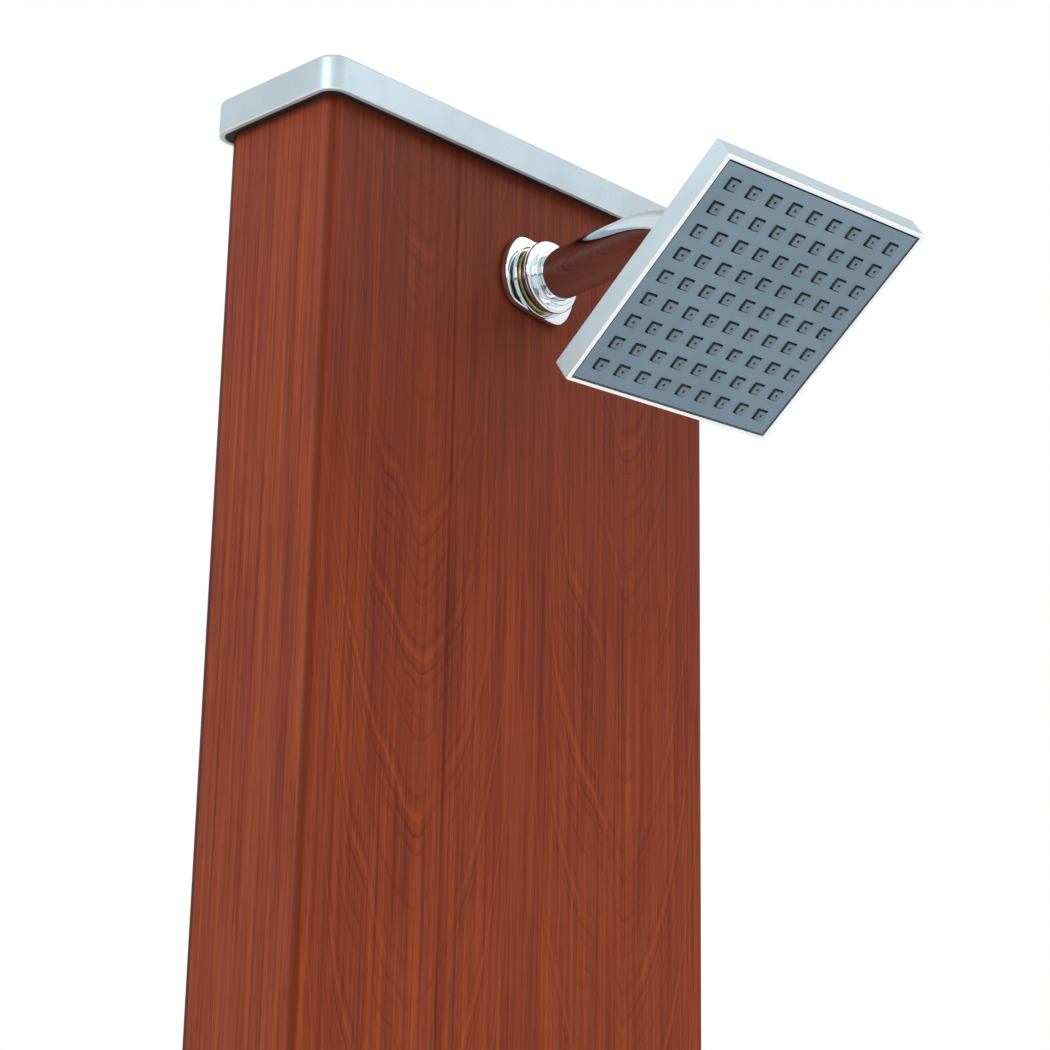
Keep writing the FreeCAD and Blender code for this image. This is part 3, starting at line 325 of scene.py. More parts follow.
GRAINS: Dict[str, Grain] = {
    "drift": Grain(0.018, 0.0035, 3.0),
    "waver": Grain(0.09, 0.016, 8.0),
    "fade": Grain(0.03, 0.006, 21.0),
    "other": Grain(0.05, 0.009, 27.0),
    "fibres": Grain(0.42, 0.007, 1.0, 3.0, 0.62),
    "threads": Grain(1.25, 0.018, 5.0, roughness=0.7),
    "bands": Grain(0.1, 0.0022, 12.0),
    "tint": Grain(0.16, 0.0032, 33.0, 1.0),
    "hairs": Grain(0.95, 0.011, 52.0, 0.0),
    "pores": Grain(2.2, 0.1, 40.0, 1.0),
}
UNDER_RINGS = (
    Streak("bands", 0.46, 0.66, 0.16, "warm"),
    Streak("tint", 0.46, 0.66, 0.3, "rose"),
    Streak("fibres", 0.47, 0.66, 0.3, "deep"),
    Streak("fibres", 0.53, 0.7, 0.4, "warm", where_low=True),
    Streak("threads", 0.48, 0.7, 0.3, "deep"),
    Streak("threads", 0.53, 0.72, 0.32, "warm", where_low=True),
    Streak("pores", 0.6, 0.72, 0.3, "deep"),
)
RING_LINES = (
    RingLine(7.0, 0.0, 0.34, "other", 0.12, wander=2.0),
    RingLine(3.0, 0.31, 0.13, "fade", 0.34),
    RingLine(2.0, 0.6, 0.1, "other", 0.34),
    RingLine(1.0, 0.9, 0.09, "fade", 0.4, "warm"),
    RingLine(1.0, 0.0, 0.055, "strong", 0.5),
)
OVER_RINGS = (Streak("hairs", 0.6, 0.68, 0.34, "deep"),)


@dataclass(frozen=True)
class WoodFilm(Coat):
    """Printed film with pointed growth rings that hang down the face, and straight sides."""

    side_colour: Colour = srgb(134, 63, 42)
    deep: Colour = srgb(74, 24, 17)
    warm: Colour = srgb(180, 82, 30)
    rose: Colour = srgb(122, 46, 42)
    # painted shade, laid over the top of the front
    painted_top_shade: Colour = srgb(78, 34, 25)
    # painted shade on the rounded corners, and deeper on the back ones
    corner_shade: Colour = srgb(98, 37, 13)
    back_corner_shade: Colour = srgb(58, 18, 10)
    side_from: float = 0.72
    side_shift: float = 340.0
    arch_middle: float = -56.0
    arch_pitch: float = 111.0
    arch_step: float = 57.0
    first_arch: float = 1974.0
    arch_tip: float = 9.0
    arch_lean: float = 1.2
    arch_swell: float = 60.0
    swell_floor: float = 0.03
    shade_low: float = 1880.0
    shade_high: float = 2110.0
    shade_cover: float = 0.42
    line_place: float = -42.5
    line_half: float = 0.9
    groove_shade_cover: float = 0.3
    line_edges: Point2 = (0.4, 1.5)
    line_rough: float = 0.2
    corner_shade_cover: float = 0.8
    corner_shade_edges: Point2 = (0.36, 0.49)
    back_shade_edges: Point2 = (0.02, 0.16)
    back_shade_from: float = 0.05
    front_from: float = -0.5
    fade_edges: Point2 = (0.36, 0.62)
    other_edges: Point2 = (0.4, 0.6)
    faintest: float = 0.35
    ring_onset: float = 0.12
    fibre_relief: float = 0.6
    thread_relief: float = 0.4
    fibre_rough: float = 0.12
    gloss: float = 0.1
    relief: Point2 = (0.3, 0.05)
    drift_across: float = 14.0
    drift_up: float = 60.0
    waver_across: float = 2.5
    waver_up: float = 9.0
    roughness: float = 0.42

    def inputs(self, paint: Paint, spot: bpy.types.NodeSocket) -> Dict[str, object]:
        """What the shader's sockets take."""
        across, depth, height = paint.parts(spot)
        normal = paint.node("ShaderNodeNewGeometry").outputs["Normal"]
        normal_x, normal_y, _ = paint.parts(normal)
        side = abs(normal_x) > self.side_from
        front = 1.0 - side
        sheet = across + side * (depth - across + self.side_shift)
        noises = {name: grain.read(paint, sheet, height) for name, grain in GRAINS.items()}

        colour = paint.mix(side, self.colour, self.side_colour)
        colour = self._streaks(paint, colour, noises, UNDER_RINGS)
        colour = self._ring_lines(paint, colour, (sheet, height), noises, front)
        colour = self._streaks(paint, colour, noises, OVER_RINGS)
        # painted shade: the front darkens towards its top, under the cap
        top_shade_mask = front * height.step(self.shade_low, self.shade_high) * self.shade_cover
        colour = paint.mix(top_shade_mask, colour, self.painted_top_shade)

        # painted shade: the film darkens along the real groove down the face
        to_line = abs(across - self.line_place)
        begin, end = (self.line_half * edge for edge in self.line_edges)
        line = (1.0 - to_line.step(begin, end)) * (normal_y < self.front_from)
        colour = paint.mix(line * self.groove_shade_cover, colour, self.deep)
        colour = self._corner_shade(paint, colour, normal_x, normal_y)

        fibres = noises["fibres"]
        relief = fibres * self.fibre_relief + noises["threads"] * self.thread_relief
        return {"Base Color": colour,
                "Roughness": self.roughness + fibres * self.fibre_rough + line * self.line_rough,
                "Specular IOR Level": self.gloss, "Normal": paint.bump(relief, *self.relief)}

    def _streaks(self, paint: Paint, colour: object, noises: Dict[str, Shade],
                 streaks: Sequence[Streak]) -> object:
        """Lays streaks of colour over a colour, one after the other."""
        for streak in streaks:
            noise = noises[streak.grain]
            noise = 1.0 - noise if streak.where_low else noise
            cover = noise.step(streak.begin, streak.full) * streak.cover
            colour = paint.mix(cover, colour, getattr(self, streak.colour))
        return colour

    def _ring_lines(self, paint: Paint, colour: object, sheet: Tuple[Shade, Shade],
                    noises: Dict[str, Shade], front: Shade) -> object:
        """Draws the growth rings on the front.

        Args:
            paint: The material.
            colour: The film's colour so far.
            sheet: The place across and up the sheet.
            noises: The grains' noises.
            front: 1 on the front and back.

        Returns:
            The colour with its rings.
        """
        drift, waver = noises["drift"] - 0.5, noises["waver"] - 0.5
        across = sheet[0] + drift * self.drift_across + waver * self.waver_across
        height = sheet[1] + drift * self.drift_up + waver * self.waver_up
        rings = self._rings(paint, across, height)
        fade = noises["fade"].step(*self.fade_edges)
        masks = {"fade": fade, "other": noises["other"].step(*self.other_edges),
                 "strong": self.faintest + fade * (1 - self.faintest)}
        for line in RING_LINES:
            place = rings * line.count + (drift * line.wander if line.wander else line.shift)
            part = paint.maths("FRACT", place)
            mark = (1.0 - part.step(0.0, line.width)) * part.step(0.0, line.width * self.ring_onset)
            cover = mark * front * masks[line.mask] * line.cover
            colour = paint.mix(cover, colour, getattr(self, line.colour))
        return colour

    def _rings(self, paint: Paint, across: Shade, height: Shade) -> Shade:
        """Counts the growth rings, which hang in arches side by side."""
        turn = (across - self.arch_middle) / self.arch_pitch
        from_arch = (turn - paint.maths("ROUND", turn)) * self.arch_pitch
        lean = paint.maths("SQRT", from_arch * from_arch + self.arch_tip) * self.arch_lean
        cosine = paint.maths("COSINE", from_arch * (math.pi / self.arch_pitch))
        swell = -paint.maths("LOGARITHM", abs(cosine) + self.swell_floor, math.e) * self.arch_swell
        return (height - self.first_arch - (lean + swell)) / self.arch_step

    def _corner_shade(self, paint: Paint, colour: object, normal_x: Shade, normal_y: Shade) -> object:
        """Darkens the film in bands at the rounded corners, deeper at the back ones: painted shade."""
        bend = abs(normal_x * normal_y)
        colour = paint.mix(bend.step(*self.corner_shade_edges) * self.corner_shade_cover, colour, self.corner_shade)
        back_shade = bend.step(*self.back_shade_edges) * (normal_y > self.back_shade_from) * self.corner_shade_cover
        return paint.mix(back_shade, colour, self.back_corner_shade)


@dataclass(frozen=True)
class SatinSilver(Coat):
    """Satin silver coat with a fine sparkle and faint handling marks."""

    glint: Colour
    roughness: float = 0.34
    metal: float = 0.85
    flake_scale: float = 1.7
    flake_edges: Point2 = (0.56, 0.76)
    flake_cover: float = 0.35
    cloud_scale: float = 0.03
    cloud_edges: Point2 = (0.4, 0.65)
    cloud_cover: float = 0.5
    cloud_rough: float = 0.1
    dullness: float = 0.84
    relief: Point2 = (0.12, 0.03)

    def inputs(self, paint: Paint, spot: bpy.types.NodeSocket) -> Dict[str, object]:
        """What the shader's sockets take."""
        flakes = paint.noise(spot, self.flake_scale, detail=1.0)
        clouds = paint.noise(spot, self.cloud_scale, detail=3.0)
        dull = tuple(part * self.dullness for part in self.colour)
        colour = paint.mix(clouds.step(*self.cloud_edges) * self.cloud_cover, self.colour, dull)
        colour = paint.mix(flakes.step(*self.flake_edges) * self.flake_cover, colour, self.glint)
        return {"Base Color": colour, "Metallic": self.metal,
                "Roughness": self.roughness + clouds * self.cloud_rough,
                "Normal": paint.bump(flakes, *self.relief)}


@dataclass(frozen=True)
class Polished(Coat):
    """Polished plating with faint wipe marks and dried water spots."""

    roughness: float = 0.035
    wipe_grain: Tuple[float, float, float] = (0.5, 0.12, 0.12)
    wipe_edges: Point2 = (0.5, 0.8)
    wipe_rough_edges: Point2 = (0.45, 0.8)
    wipe_cover: float = 0.3
    wipe_rough: float = 0.05
    drop_scale: float = 0.11
    drop_ring: Tuple[float, float, float] = (0.10, 0.16, 0.21)
    drop_rough: float = 0.04
    dullness: float = 0.9

    def inputs(self, paint: Paint, spot: bpy.types.NodeSocket) -> Dict[str, object]:
        """What the shader's sockets take."""
        wipes = paint.noise(paint.scaled(spot, self.wipe_grain), 1.0, detail=4.0, roughness=0.65)
        drops = paint.node("ShaderNodeTexVoronoi", {"feature": "F1"},
                           {"Vector": spot, "Scale": self.drop_scale})
        gap = Shade(paint, drops.outputs["Distance"])
        inner, rim, outer = self.drop_ring
        spots = gap.step(inner, rim) * (1.0 - gap.step(rim, outer)) * self.drop_rough
        dull = tuple(part * self.dullness for part in self.colour)
        cover = wipes.step(*self.wipe_edges) * self.wipe_cover
        rough = wipes.step(*self.wipe_rough_edges) * self.wipe_rough
        return {"Base Color": paint.mix(cover, self.colour, dull), "Metallic": 1.0,
                "Roughness": self.roughness + rough + spots}


@dataclass(frozen=True)
class Machined(Coat):
    """Bare turned or drawn metal with fine tool marks."""

    tarnish: Colour
    roughness: float = 0.24
    mark_grain: Tuple[float, float, float] = (0.4, 5.0, 0.4)
    stain_scale: float = 0.16
    stain_edges: Point2 = (0.45, 0.72)
    stain_cover: float = 0.6
    stain_rough: float = 0.16
    relief: Point2 = (0.2, 0.02)

    def inputs(self, paint: Paint, spot: bpy.types.NodeSocket) -> Dict[str, object]:
        """What the shader's sockets take."""
        marks = paint.noise(paint.scaled(spot, self.mark_grain), 1.0, detail=3.0)
        stains = paint.noise(spot, self.stain_scale, detail=4.0, roughness=0.6)
        cover = stains.step(*self.stain_edges) * self.stain_cover
        return {"Base Color": paint.mix(cover, self.colour, self.tarnish), "Metallic": 1.0,
                "Roughness": self.roughness + stains * self.stain_rough,
                "Normal": paint.bump(marks, *self.relief)}


@dataclass(frozen=True)
class Moulded(Coat):
    """Plain moulded plastic or rubber with a fine grain."""

    roughness: float = 0.6
    grain: float = 0.03
    grain_scale: float = 2.6
    grain_depth: float = 0.25
    grain_rough: float = 0.14
    cloud_scale: float = 0.09
    cloud_edges: Point2 = (0.4, 0.7)
    cloud_cover: float = 0.5
    paleness: float = 1.25
    lift: float = 0.008

    def inputs(self, paint: Paint, spot: bpy.types.NodeSocket) -> Dict[str, object]:
        """What the shader's sockets take."""
        grain = paint.noise(spot, self.grain_scale)
        clouds = paint.noise(spot, self.cloud_scale, detail=3.0)
        pale = tuple(min(1.0, part * self.paleness + self.lift) for part in self.colour)
        cover = clouds.step(*self.cloud_edges) * self.cloud_cover
        return {"Base Color": paint.mix(cover, self.colour, pale),
                "Roughness": self.roughness + grain * self.grain_rough - self.grain_rough / 2,
                "Normal": paint.bump(grain, self.grain_depth, self.grain)}


@dataclass(frozen=True)
class Braid(Coat):
    """Steel wires braided over a hose, as two sets of slanting strands."""

    between: Colour = srgb(52, 54, 58)
    pitch: float = 3.4
    strands_round: float = 18.0
    wire_edges: Point2 = (0.35, 0.8)
    metal_edges: Point2 = (0.3, 0.6)
    metal: float = 0.9
    roughness: float = 0.34
    gap_rough: float = 0.3
    relief: Point2 = (0.6, 0.3)

    def inputs(self, paint: Paint, spot: bpy.types.NodeSocket) -> Dict[str, object]:
        """What the shader's sockets take."""
        across, depth, height = paint.parts(spot)
        angle = paint.maths("ARCTAN2", depth, across) * (self.strands_round / math.tau)
        climb = height / self.pitch
        left = abs(paint.maths("SINE", (angle + climb) * math.pi))
        right = abs(paint.maths("SINE", (angle - climb) * math.pi))
        strands = paint.maths("MAXIMUM", left, right)
        return {"Base Color": paint.mix(strands.step(*self.wire_edges), self.between, self.colour),
                "Metallic": strands.step(*self.metal_edges) * self.metal,
                "Roughness": self.roughness + (1.0 - strands) * self.gap_rough,
                "Normal": paint.bump(strands, *self.relief)}


class Finish(Enum):
    """The finishes, each named as its slot in the record."""

    WOOD = WoodFilm("printed_wood", "wood_film", srgb(138, 60, 35))
    SILVER = SatinSilver("silver_coat", "silver_cap", srgb(183, 198, 206), srgb(212, 223, 229), 0.42, 0.5)
    # a lighter copy of the silver coat: painted highlight along the cap's lower lip
    RIM = SatinSilver("painted_highlight_rim", "silver_cap", srgb(222, 231, 236), srgb(236, 242, 245), 0.4, 0.3)
    CHROME = Polished("polished_chrome", "chrome", srgb(204, 217, 223))
    # a darker copy of the chrome: painted shade in the nipple's thread
    DARK = Polished("shaded_thread", "chrome", srgb(120, 128, 134), 0.16)
    # a near-white copy of the chrome: painted highlight on the head's lip
    EDGE = Polished("painted_highlight_edge", "chrome", srgb(250, 252, 253), 0.12)
    BRASS = Machined("turned_brass", "brass", srgb(206, 166, 84), srgb(142, 104, 46))
    STEEL = Machined("drawn_steel", "steel", srgb(176, 180, 184), srgb(120, 124, 130), 0.3)
    SATIN = SatinSilver("satin_chrome", "chrome", srgb(198, 217, 226), srgb(208, 224, 231), 0.28, 0.3)
    # a lighter copy of the chrome: painted highlight on the flange and collar
    SHINE = Polished("lit_chrome", "chrome", srgb(232, 240, 244))
    FACE = SatinSilver("satin_face", "face", srgb(126, 147, 161), srgb(140, 159, 172), 0.42)
    BLACK = Moulded("black_moulding", "black_rubber", srgb(20, 20, 22), 0.72)
    GREY = Moulded("grey_moulding", "grey_rubber", srgb(112, 131, 144), 0.5)
    SHADED = Moulded("shaded_moulding", "grey_rubber", srgb(64, 78, 89), 0.6)
    WHITE = Moulded("white_moulding", "white_plastic", srgb(222, 222, 218), 0.42, 0.015)
    BRAID = Braid("wire_braid", "hose_braid", srgb(176, 180, 184))

    def material(self) -> bpy.types.Material:
        """The finish's one material, made when it is first asked for."""
        return bpy.data.materials.get(self.value.name) or self.value.make()

    def slot(self) -> str:
        """The finish's slot in the record."""
        return self.value.slot


# ---------------------------------------------------------------- mesh work


def softened(points: Sequence[Point2], radius: Union[float, Sequence[float]], steps: int = 4) -> List[Point2]:
    """Rounds the corners of a closed outline.

    Args:
        points: The corners, in order.
        radius: The rounding, one for all or one for each corner.
        steps: How many chords each rounding has.

    Returns:
        The outline with its rounded corners.
    """
    count = len(points)
    radii = [radius] * count if isinstance(radius, (int, float)) else list(radius)
    result = []
    for index, amount in enumerate(radii):
        here = Vector(points[index])
        back = Vector(points[index - 1]) - here
        ahead = Vector(points[(index + 1) % count]) - here
        if amount <= 0 or back.length < TINY or ahead.length < TINY:
            result.append(tuple(here))
            continue
        half = back.angle(ahead) / 2
        reach = min(amount / math.tan(half), back.length * MOST_OF_AN_EDGE, ahead.length * MOST_OF_AN_EDGE)
        middle = (back.normalized() + ahead.normalized()).normalized()
        centre = here + middle * (reach / math.cos(half))
        first = here + back.normalized() * reach - centre
        last = here + ahead.normalized() * reach - centre
        begin = math.atan2(first.y, first.x)
        sweep = math.atan2(last.y, last.x) - begin
        sweep = (sweep + math.pi) % math.tau - math.pi
        far = first.length
        for step in range(steps + 1):
            angle = begin + sweep * step / steps
            result.append((centre.x + far * math.cos(angle), centre.y + far * math.sin(angle)))
    return result


def box_outline(width: float, depth: float, radius: float, steps: int = 8) -> List[Point2]:
    """A rectangle with round corners, about the origin."""
    across, along = width / 2, depth / 2
    corners = [(-across, -along), (across, -along), (across, along), (-across, along)]
    return softened(corners, radius, steps)


def inset(points: Sequence[Point2], amount: float) -> List[Point2]:
    """Moves a convex outline's points inwards by an amount."""
    result = []
    count = len(points)
    for index, point in enumerate(points):
        here = Vector(point)
        back = (here - Vector(points[index - 1])).normalized()
        ahead = (Vector(points[(index + 1) % count]) - here).normalized()
        way = (back + ahead).normalized()
        share = max(way.dot(back), 0.3)
        result.append((here.x - way.y * amount / share, here.y + way.x * amount / share))
    return result


def circle(radius: float, height: float, steps: int) -> Ring:
    """Points round a circle about Z, at a height."""
    turns = (math.tau * step / steps for step in range(steps))
    return [(radius * math.cos(turn), radius * math.sin(turn), height) for turn in turns]


def facing(outline: Sequence[Point2], radius: float) -> List[Point2]:
    """A circle whose points face those of an outline."""
    turns = [math.atan2(along, across) for across, along in outline]
    return [(radius * math.cos(turn), radius * math.sin(turn)) for turn in turns]


def square(half: float) -> List[Point2]:
    """A square's corners, half a side from its middle."""
    return [(across * half, along * half) for across, along in SQUARE]


def level(outline: Sequence[Point2], height: float, middle: Point2 = (0.0, 0.0)) -> Ring:
    """An outline at a height, about a middle."""
    return [(across + middle[0], along + middle[1], height) for across, along in outline]


def quarter(steps: int) -> List[Point2]:
    """What is still missing from a quarter round: 1 less its cosine and 1 less its sine."""
    turns = (math.pi / 2 * step / steps for step in range(steps + 1))
    return [(1 - math.cos(turn), 1 - math.sin(turn)) for turn in turns]


def skin_rings(mesh: bmesh.types.BMesh, rings: Sequence[Ring], closed: bool = False,
               filled: bool = False) -> List[List[bmesh.types.BMVert]]:
    """Joins rings of equally many points with faces.

    Args:
        mesh: The mesh that takes them.
        rings: The rings, in order.
        closed: Whether the last ring joins the first.
        filled: Whether the first and last rings are filled.

    Returns:
        The rings' points in the mesh.
    """
    rows = [[mesh.verts.new(point) for point in ring] for ring in rings]
    pairs = list(zip(rows, rows[1:]))
    if closed:
        pairs.append((rows[-1], rows[0]))
    for lower, upper in pairs:
        count = len(lower)
        for index in range(count):
            after = (index + 1) % count
            mesh.faces.new((lower[index], lower[after], upper[after], upper[index]))
    if filled:
        mesh.faces.new(list(reversed(rows[0])))
        mesh.faces.new(rows[-1])
    return rows


def placed(name: str, data: bpy.types.ID) -> bpy.types.Object:
    """Adds an object to the scene."""
    made = bpy.data.objects.new(name, data)
    bpy.context.scene.collection.objects.link(made)
    return made


def settled(name: str, mesh: bmesh.types.BMesh) -> bpy.types.Object:
    """Adds a bmesh, which is used up, to the scene as an object."""
    data = bpy.data.meshes.new(name)
    mesh.to_mesh(data)
    mesh.free()
    return placed(name, data)


def even(piece: bpy.types.Object) -> None:
    """Lets a piece's large faces shade flat up to its rounded edges."""
    piece.modifiers.new("evened", "WEIGHTED_NORMAL").keep_sharp = True


def carve(piece: bpy.types.Object, tool: bmesh.types.BMesh) -> None:
    """Cuts a tool's shape, given in millimetres and used up, out of a piece."""
    bmesh.ops.recalc_face_normals(tool, faces=tool.faces)
    tool.transform(Matrix.Scale(MM, 4))
    cutter = settled("tool", tool)
    piece.modifiers.clear()
    cut = piece.modifiers.new("cut", "BOOLEAN")
    cut.object = cutter
    cut.solver = "EXACT"
    bpy.context.view_layer.update()
    seen = piece.evaluated_get(bpy.context.evaluated_depsgraph_get())
    before, piece.data = piece.data, bpy.data.meshes.new_from_object(seen)
    piece.modifiers.clear()
    even(piece)
    used = cutter.data
    bpy.data.objects.remove(cutter)
    for data in (used, before):
        bpy.data.meshes.remove(data)


def smoothed(data: bpy.types.Mesh, finish: Finish, sharp: float = SHARP_EDGE) -> None:
    """Gives a mesh its finish and smooth shading, with edges sharp from an angle in degrees."""
    data.materials.clear()
    data.materials.append(finish.material())
    data.shade_smooth()
    data.set_sharp_from_angle(angle=math.radians(sharp))


@dataclass
class Stock:
    """Turns rings of points into pieces of the model."""

    body: str
    place: Matrix = field(default_factory=lambda: Matrix.Identity(4))
    def piece(self, name: str, rings: Sequence[Ring], finish: Finish, replaces: Sequence[str] = (),
              closed: bool = False, filled: bool = True) -> bpy.types.Object:
        """Makes a piece of rings that have equally many points.

        Args:
            name: The piece's name.
            rings: The rings, in order, in millimetres of the piece's own place.
            finish: The piece's finish.
            replaces: The nodes that it stands for.
            closed: Whether the last ring joins the first.
            filled: Whether the first and last rings are filled.

        Returns:
            The object.
        """
        mesh = bmesh.new()
        skin_rings(mesh, rings, closed, filled and not closed)
        return self.finished(name, mesh, finish, replaces)

    def finished(self, name: str, mesh: bmesh.types.BMesh, finish: Finish,
                 replaces: Sequence[str] = ()) -> bpy.types.Object:
        """Turns a bmesh in millimetres, which is used up, into a piece."""
        bmesh.ops.remove_doubles(mesh, verts=mesh.verts, dist=WELD)
        bmesh.ops.recalc_face_normals(mesh, faces=mesh.faces)
        mesh.transform(Matrix.Scale(MM, 4) @ self.place)
        made = settled(name, mesh)
        smoothed(made.data, finish)
        even(made)
        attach(made, self.body)
        finish.slot()
        if replaces:
            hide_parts(*replaces)
        log.info("%s: %d faces, on %s", name, len(made.data.polygons), self.body)
        return made

    def lathe(self, name: str, profile: Sequence[Point2], finish: Finish, replaces: Sequence[str] = (),
              steps: int = 96) -> bpy.types.Object:
        """Turns a closed profile of (radius, height) points about the place's Z axis."""
        rings = [circle(radius, height, steps) for radius, height in profile]
        return self.piece(name, rings, finish, replaces, closed=True)


def dressed(node: str, finish: Finish) -> None:
    """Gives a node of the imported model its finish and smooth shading."""
    smoothed(frame["nodes"][node].data, finish)
    log.info("%s: %s", node, finish.name.lower())


def middle_of(node: str) -> Vector:
    """The middle of a node's box, in millimetres."""
    low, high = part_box(node)
    return (low + high) / (2 * MM)


def joint(name: str) -> dict:
    """One joint of the record."""
    return next(item for item in frame["joints"] if item["name"] == name)


def facing_front(height: float, depth: float) -> Matrix:
    """A place on the front face, with Z out of it and Y up."""
    return Matrix.Translation((0, -depth / 2, height)) @ Matrix.Rotation(math.pi / 2, 4, "X")


# ---------------------------------------------------------------- column and cap


@dataclass
class Column:
    """The column's skin, with the shallow line down its face."""

    width: float = 217.0
    depth: float = 60.0
    wall: float = 2.4
    corner: float = 6.0
    line_from_left: float = 66.0
    line_width: float = 2.4
    line_depth: float = 0.3
    line_floor: float = 0.3
    corner_steps: int = 10

    def build(self) -> None:
        """Makes the hollow skin in place of the drawn column."""
        low, high = (corner.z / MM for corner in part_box("post_profile"))
        middle = self.line_from_left - self.width / 2
        front = -self.depth / 2
        half = self.line_width / 2
        floor = half * self.line_floor
        groove = [(middle - half, front), (middle - floor, front + self.line_depth),
                  (middle + floor, front + self.line_depth), (middle + half, front)]
        outer = self._with_line(0.0, groove)
        inner = self._with_line(self.wall, [(across, front + self.wall) for across, _ in groove])
        rings = [level(inner, low), level(outer, low), level(outer, high), level(inner, high)]
        Stock("post").piece("column_skin", rings, Finish.WOOD, ["post_profile"], closed=True)

    def _with_line(self, amount: float, line: Sequence[Point2]) -> List[Point2]:
        """The column's outline, moved inwards by an amount, with the line's points in its front."""
        outline = box_outline(self.width - 2 * amount, self.depth - 2 * amount, self.corner - amount,
                              self.corner_steps)
        split = next(index for index, point in enumerate(outline) if point[0] > 0)
        return outline[:split] + list(line) + outline[split:]


@dataclass
class Cap:
    """Tray-shaped cap with a soft upper edge and a rolled lower lip."""

    overhang: float = 5.7
    back: float = 3.3
    corner: float = 8.2
    wall: float = 2.2
    skirt: float = 14.0
    edge: float = 1.6
    lip_round: float = 0.5
    lip_bevel: float = 0.3
    seal_lift: float = 0.7
    seal_across: float = 30.0
    seal_along: float = 24.0
    seal_corner: float = 2.0
    play: float = 0.05
    screw_hole: float = 2.0
    screw_head: float = 3.95
    screw_sides: int = 32
    corner_steps: int = 14
    edge_steps: int = 6
    column: Column = field(default_factory=Column)

    def build(self) -> None:
        """Makes the tray, lip and seal and dresses the screws."""
        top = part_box("top_cap")[1].z / MM
        stock = Stock("post")
        tray = stock.piece("cap_tray", [self._ring(*spot) for spot in self._section(top)],
                           Finish.SILVER, ["top_cap"])
        self._drill(tray, top)
        # the lip's lighter silver is a painted highlight
        stock.piece("cap_lip", [self._ring(*spot) for spot in self._lip(top - self.skirt)],
                    Finish.RIM, closed=True)
        self._seal_and_gap_shade(top)
        dressed("cap_screws", Finish.STEEL)

    def _ring(self, amount: float, height: float) -> Ring:
        """The cap's outline, moved inwards by an amount, at a height."""
        wide = self.column.width + 2 * (self.overhang - amount)
        deep = self.column.depth + self.overhang + self.back - 2 * amount
        outline = box_outline(wide, deep, self.corner - amount, self.corner_steps)
        return level(outline, height, (0.0, (self.back - self.overhang) / 2))

    def _seal_and_gap_shade(self, top: float) -> None:
        """Makes the rubber frame between column and skirt; drawn down near the lip, it is painted shade."""
        column = self.column
        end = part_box("post_profile")[1].z / MM
        inner = box_outline(column.width - self.seal_across, column.depth - self.seal_along,
                            self.seal_corner, self.corner_steps)
        outer = box_outline(column.width + 2 * self.play, column.depth + 2 * self.play, column.corner,
                            self.corner_steps)
        # painted shade: the black frame reaches down to just above the lip, filling the shaded gap under the
        # skirt
        low = top - self.skirt + self.seal_lift
        high = top - self.wall - self.play
        reach = self.wall + self.play
        rings = [level(inner, end), level(outer, end), level(outer, low), self._ring(reach, low),
                 self._ring(reach, high), level(inner, high)]
        Stock("post").piece("cap_frame_and_gap_shade", rings, Finish.BLACK, ["cap_seal"], closed=True)

    def _section(self, top: float) -> List[Point2]:
        """The tray's wall as (inset, height), from the middle of the inside to the top's edge."""
        base = top - self.skirt + self.lip_round
        section = [(self.wall, top - self.wall), (self.wall, base), (0.0, base)]
        return section + [(self.edge * less, top - self.edge * more)
                          for less, more in quarter(self.edge_steps)]

    def _lip(self, base: float) -> List[Point2]:
        """The rolled lip's section as (inset, height)."""
        arc = self.lip_round
        section = [(self.wall, base + arc), (self.wall, base + self.lip_bevel),
                   (self.wall - self.lip_bevel, base), (arc, base)]
        return section + [(arc * more, base + arc * less) for less, more in quarter(self.edge_steps)[1:]]

    def _drill(self, tray: bpy.types.Object, top: float) -> None:
        """Sinks the tray round the four screws."""
        low, high = (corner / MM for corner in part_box("cap_screws"))
        head, hole = self.screw_head, self.screw_hole
        section = [(head, top + 1), (head, top), (hole, top - head + hole), (hole, top - 3 * self.wall)]
        tool = bmesh.new()
        for across in (low.x + head, high.x - head):
            for along in (low.y + head, high.y - head):
                rings = [level([point[:2] for point in circle(radius, height, self.screw_sides)], height,
                               (across, along)) for radius, height in section]
                skin_rings(tool, rings, filled=True)
        carve(tray, tool)


# ---------------------------------------------------------------- wall union and arm


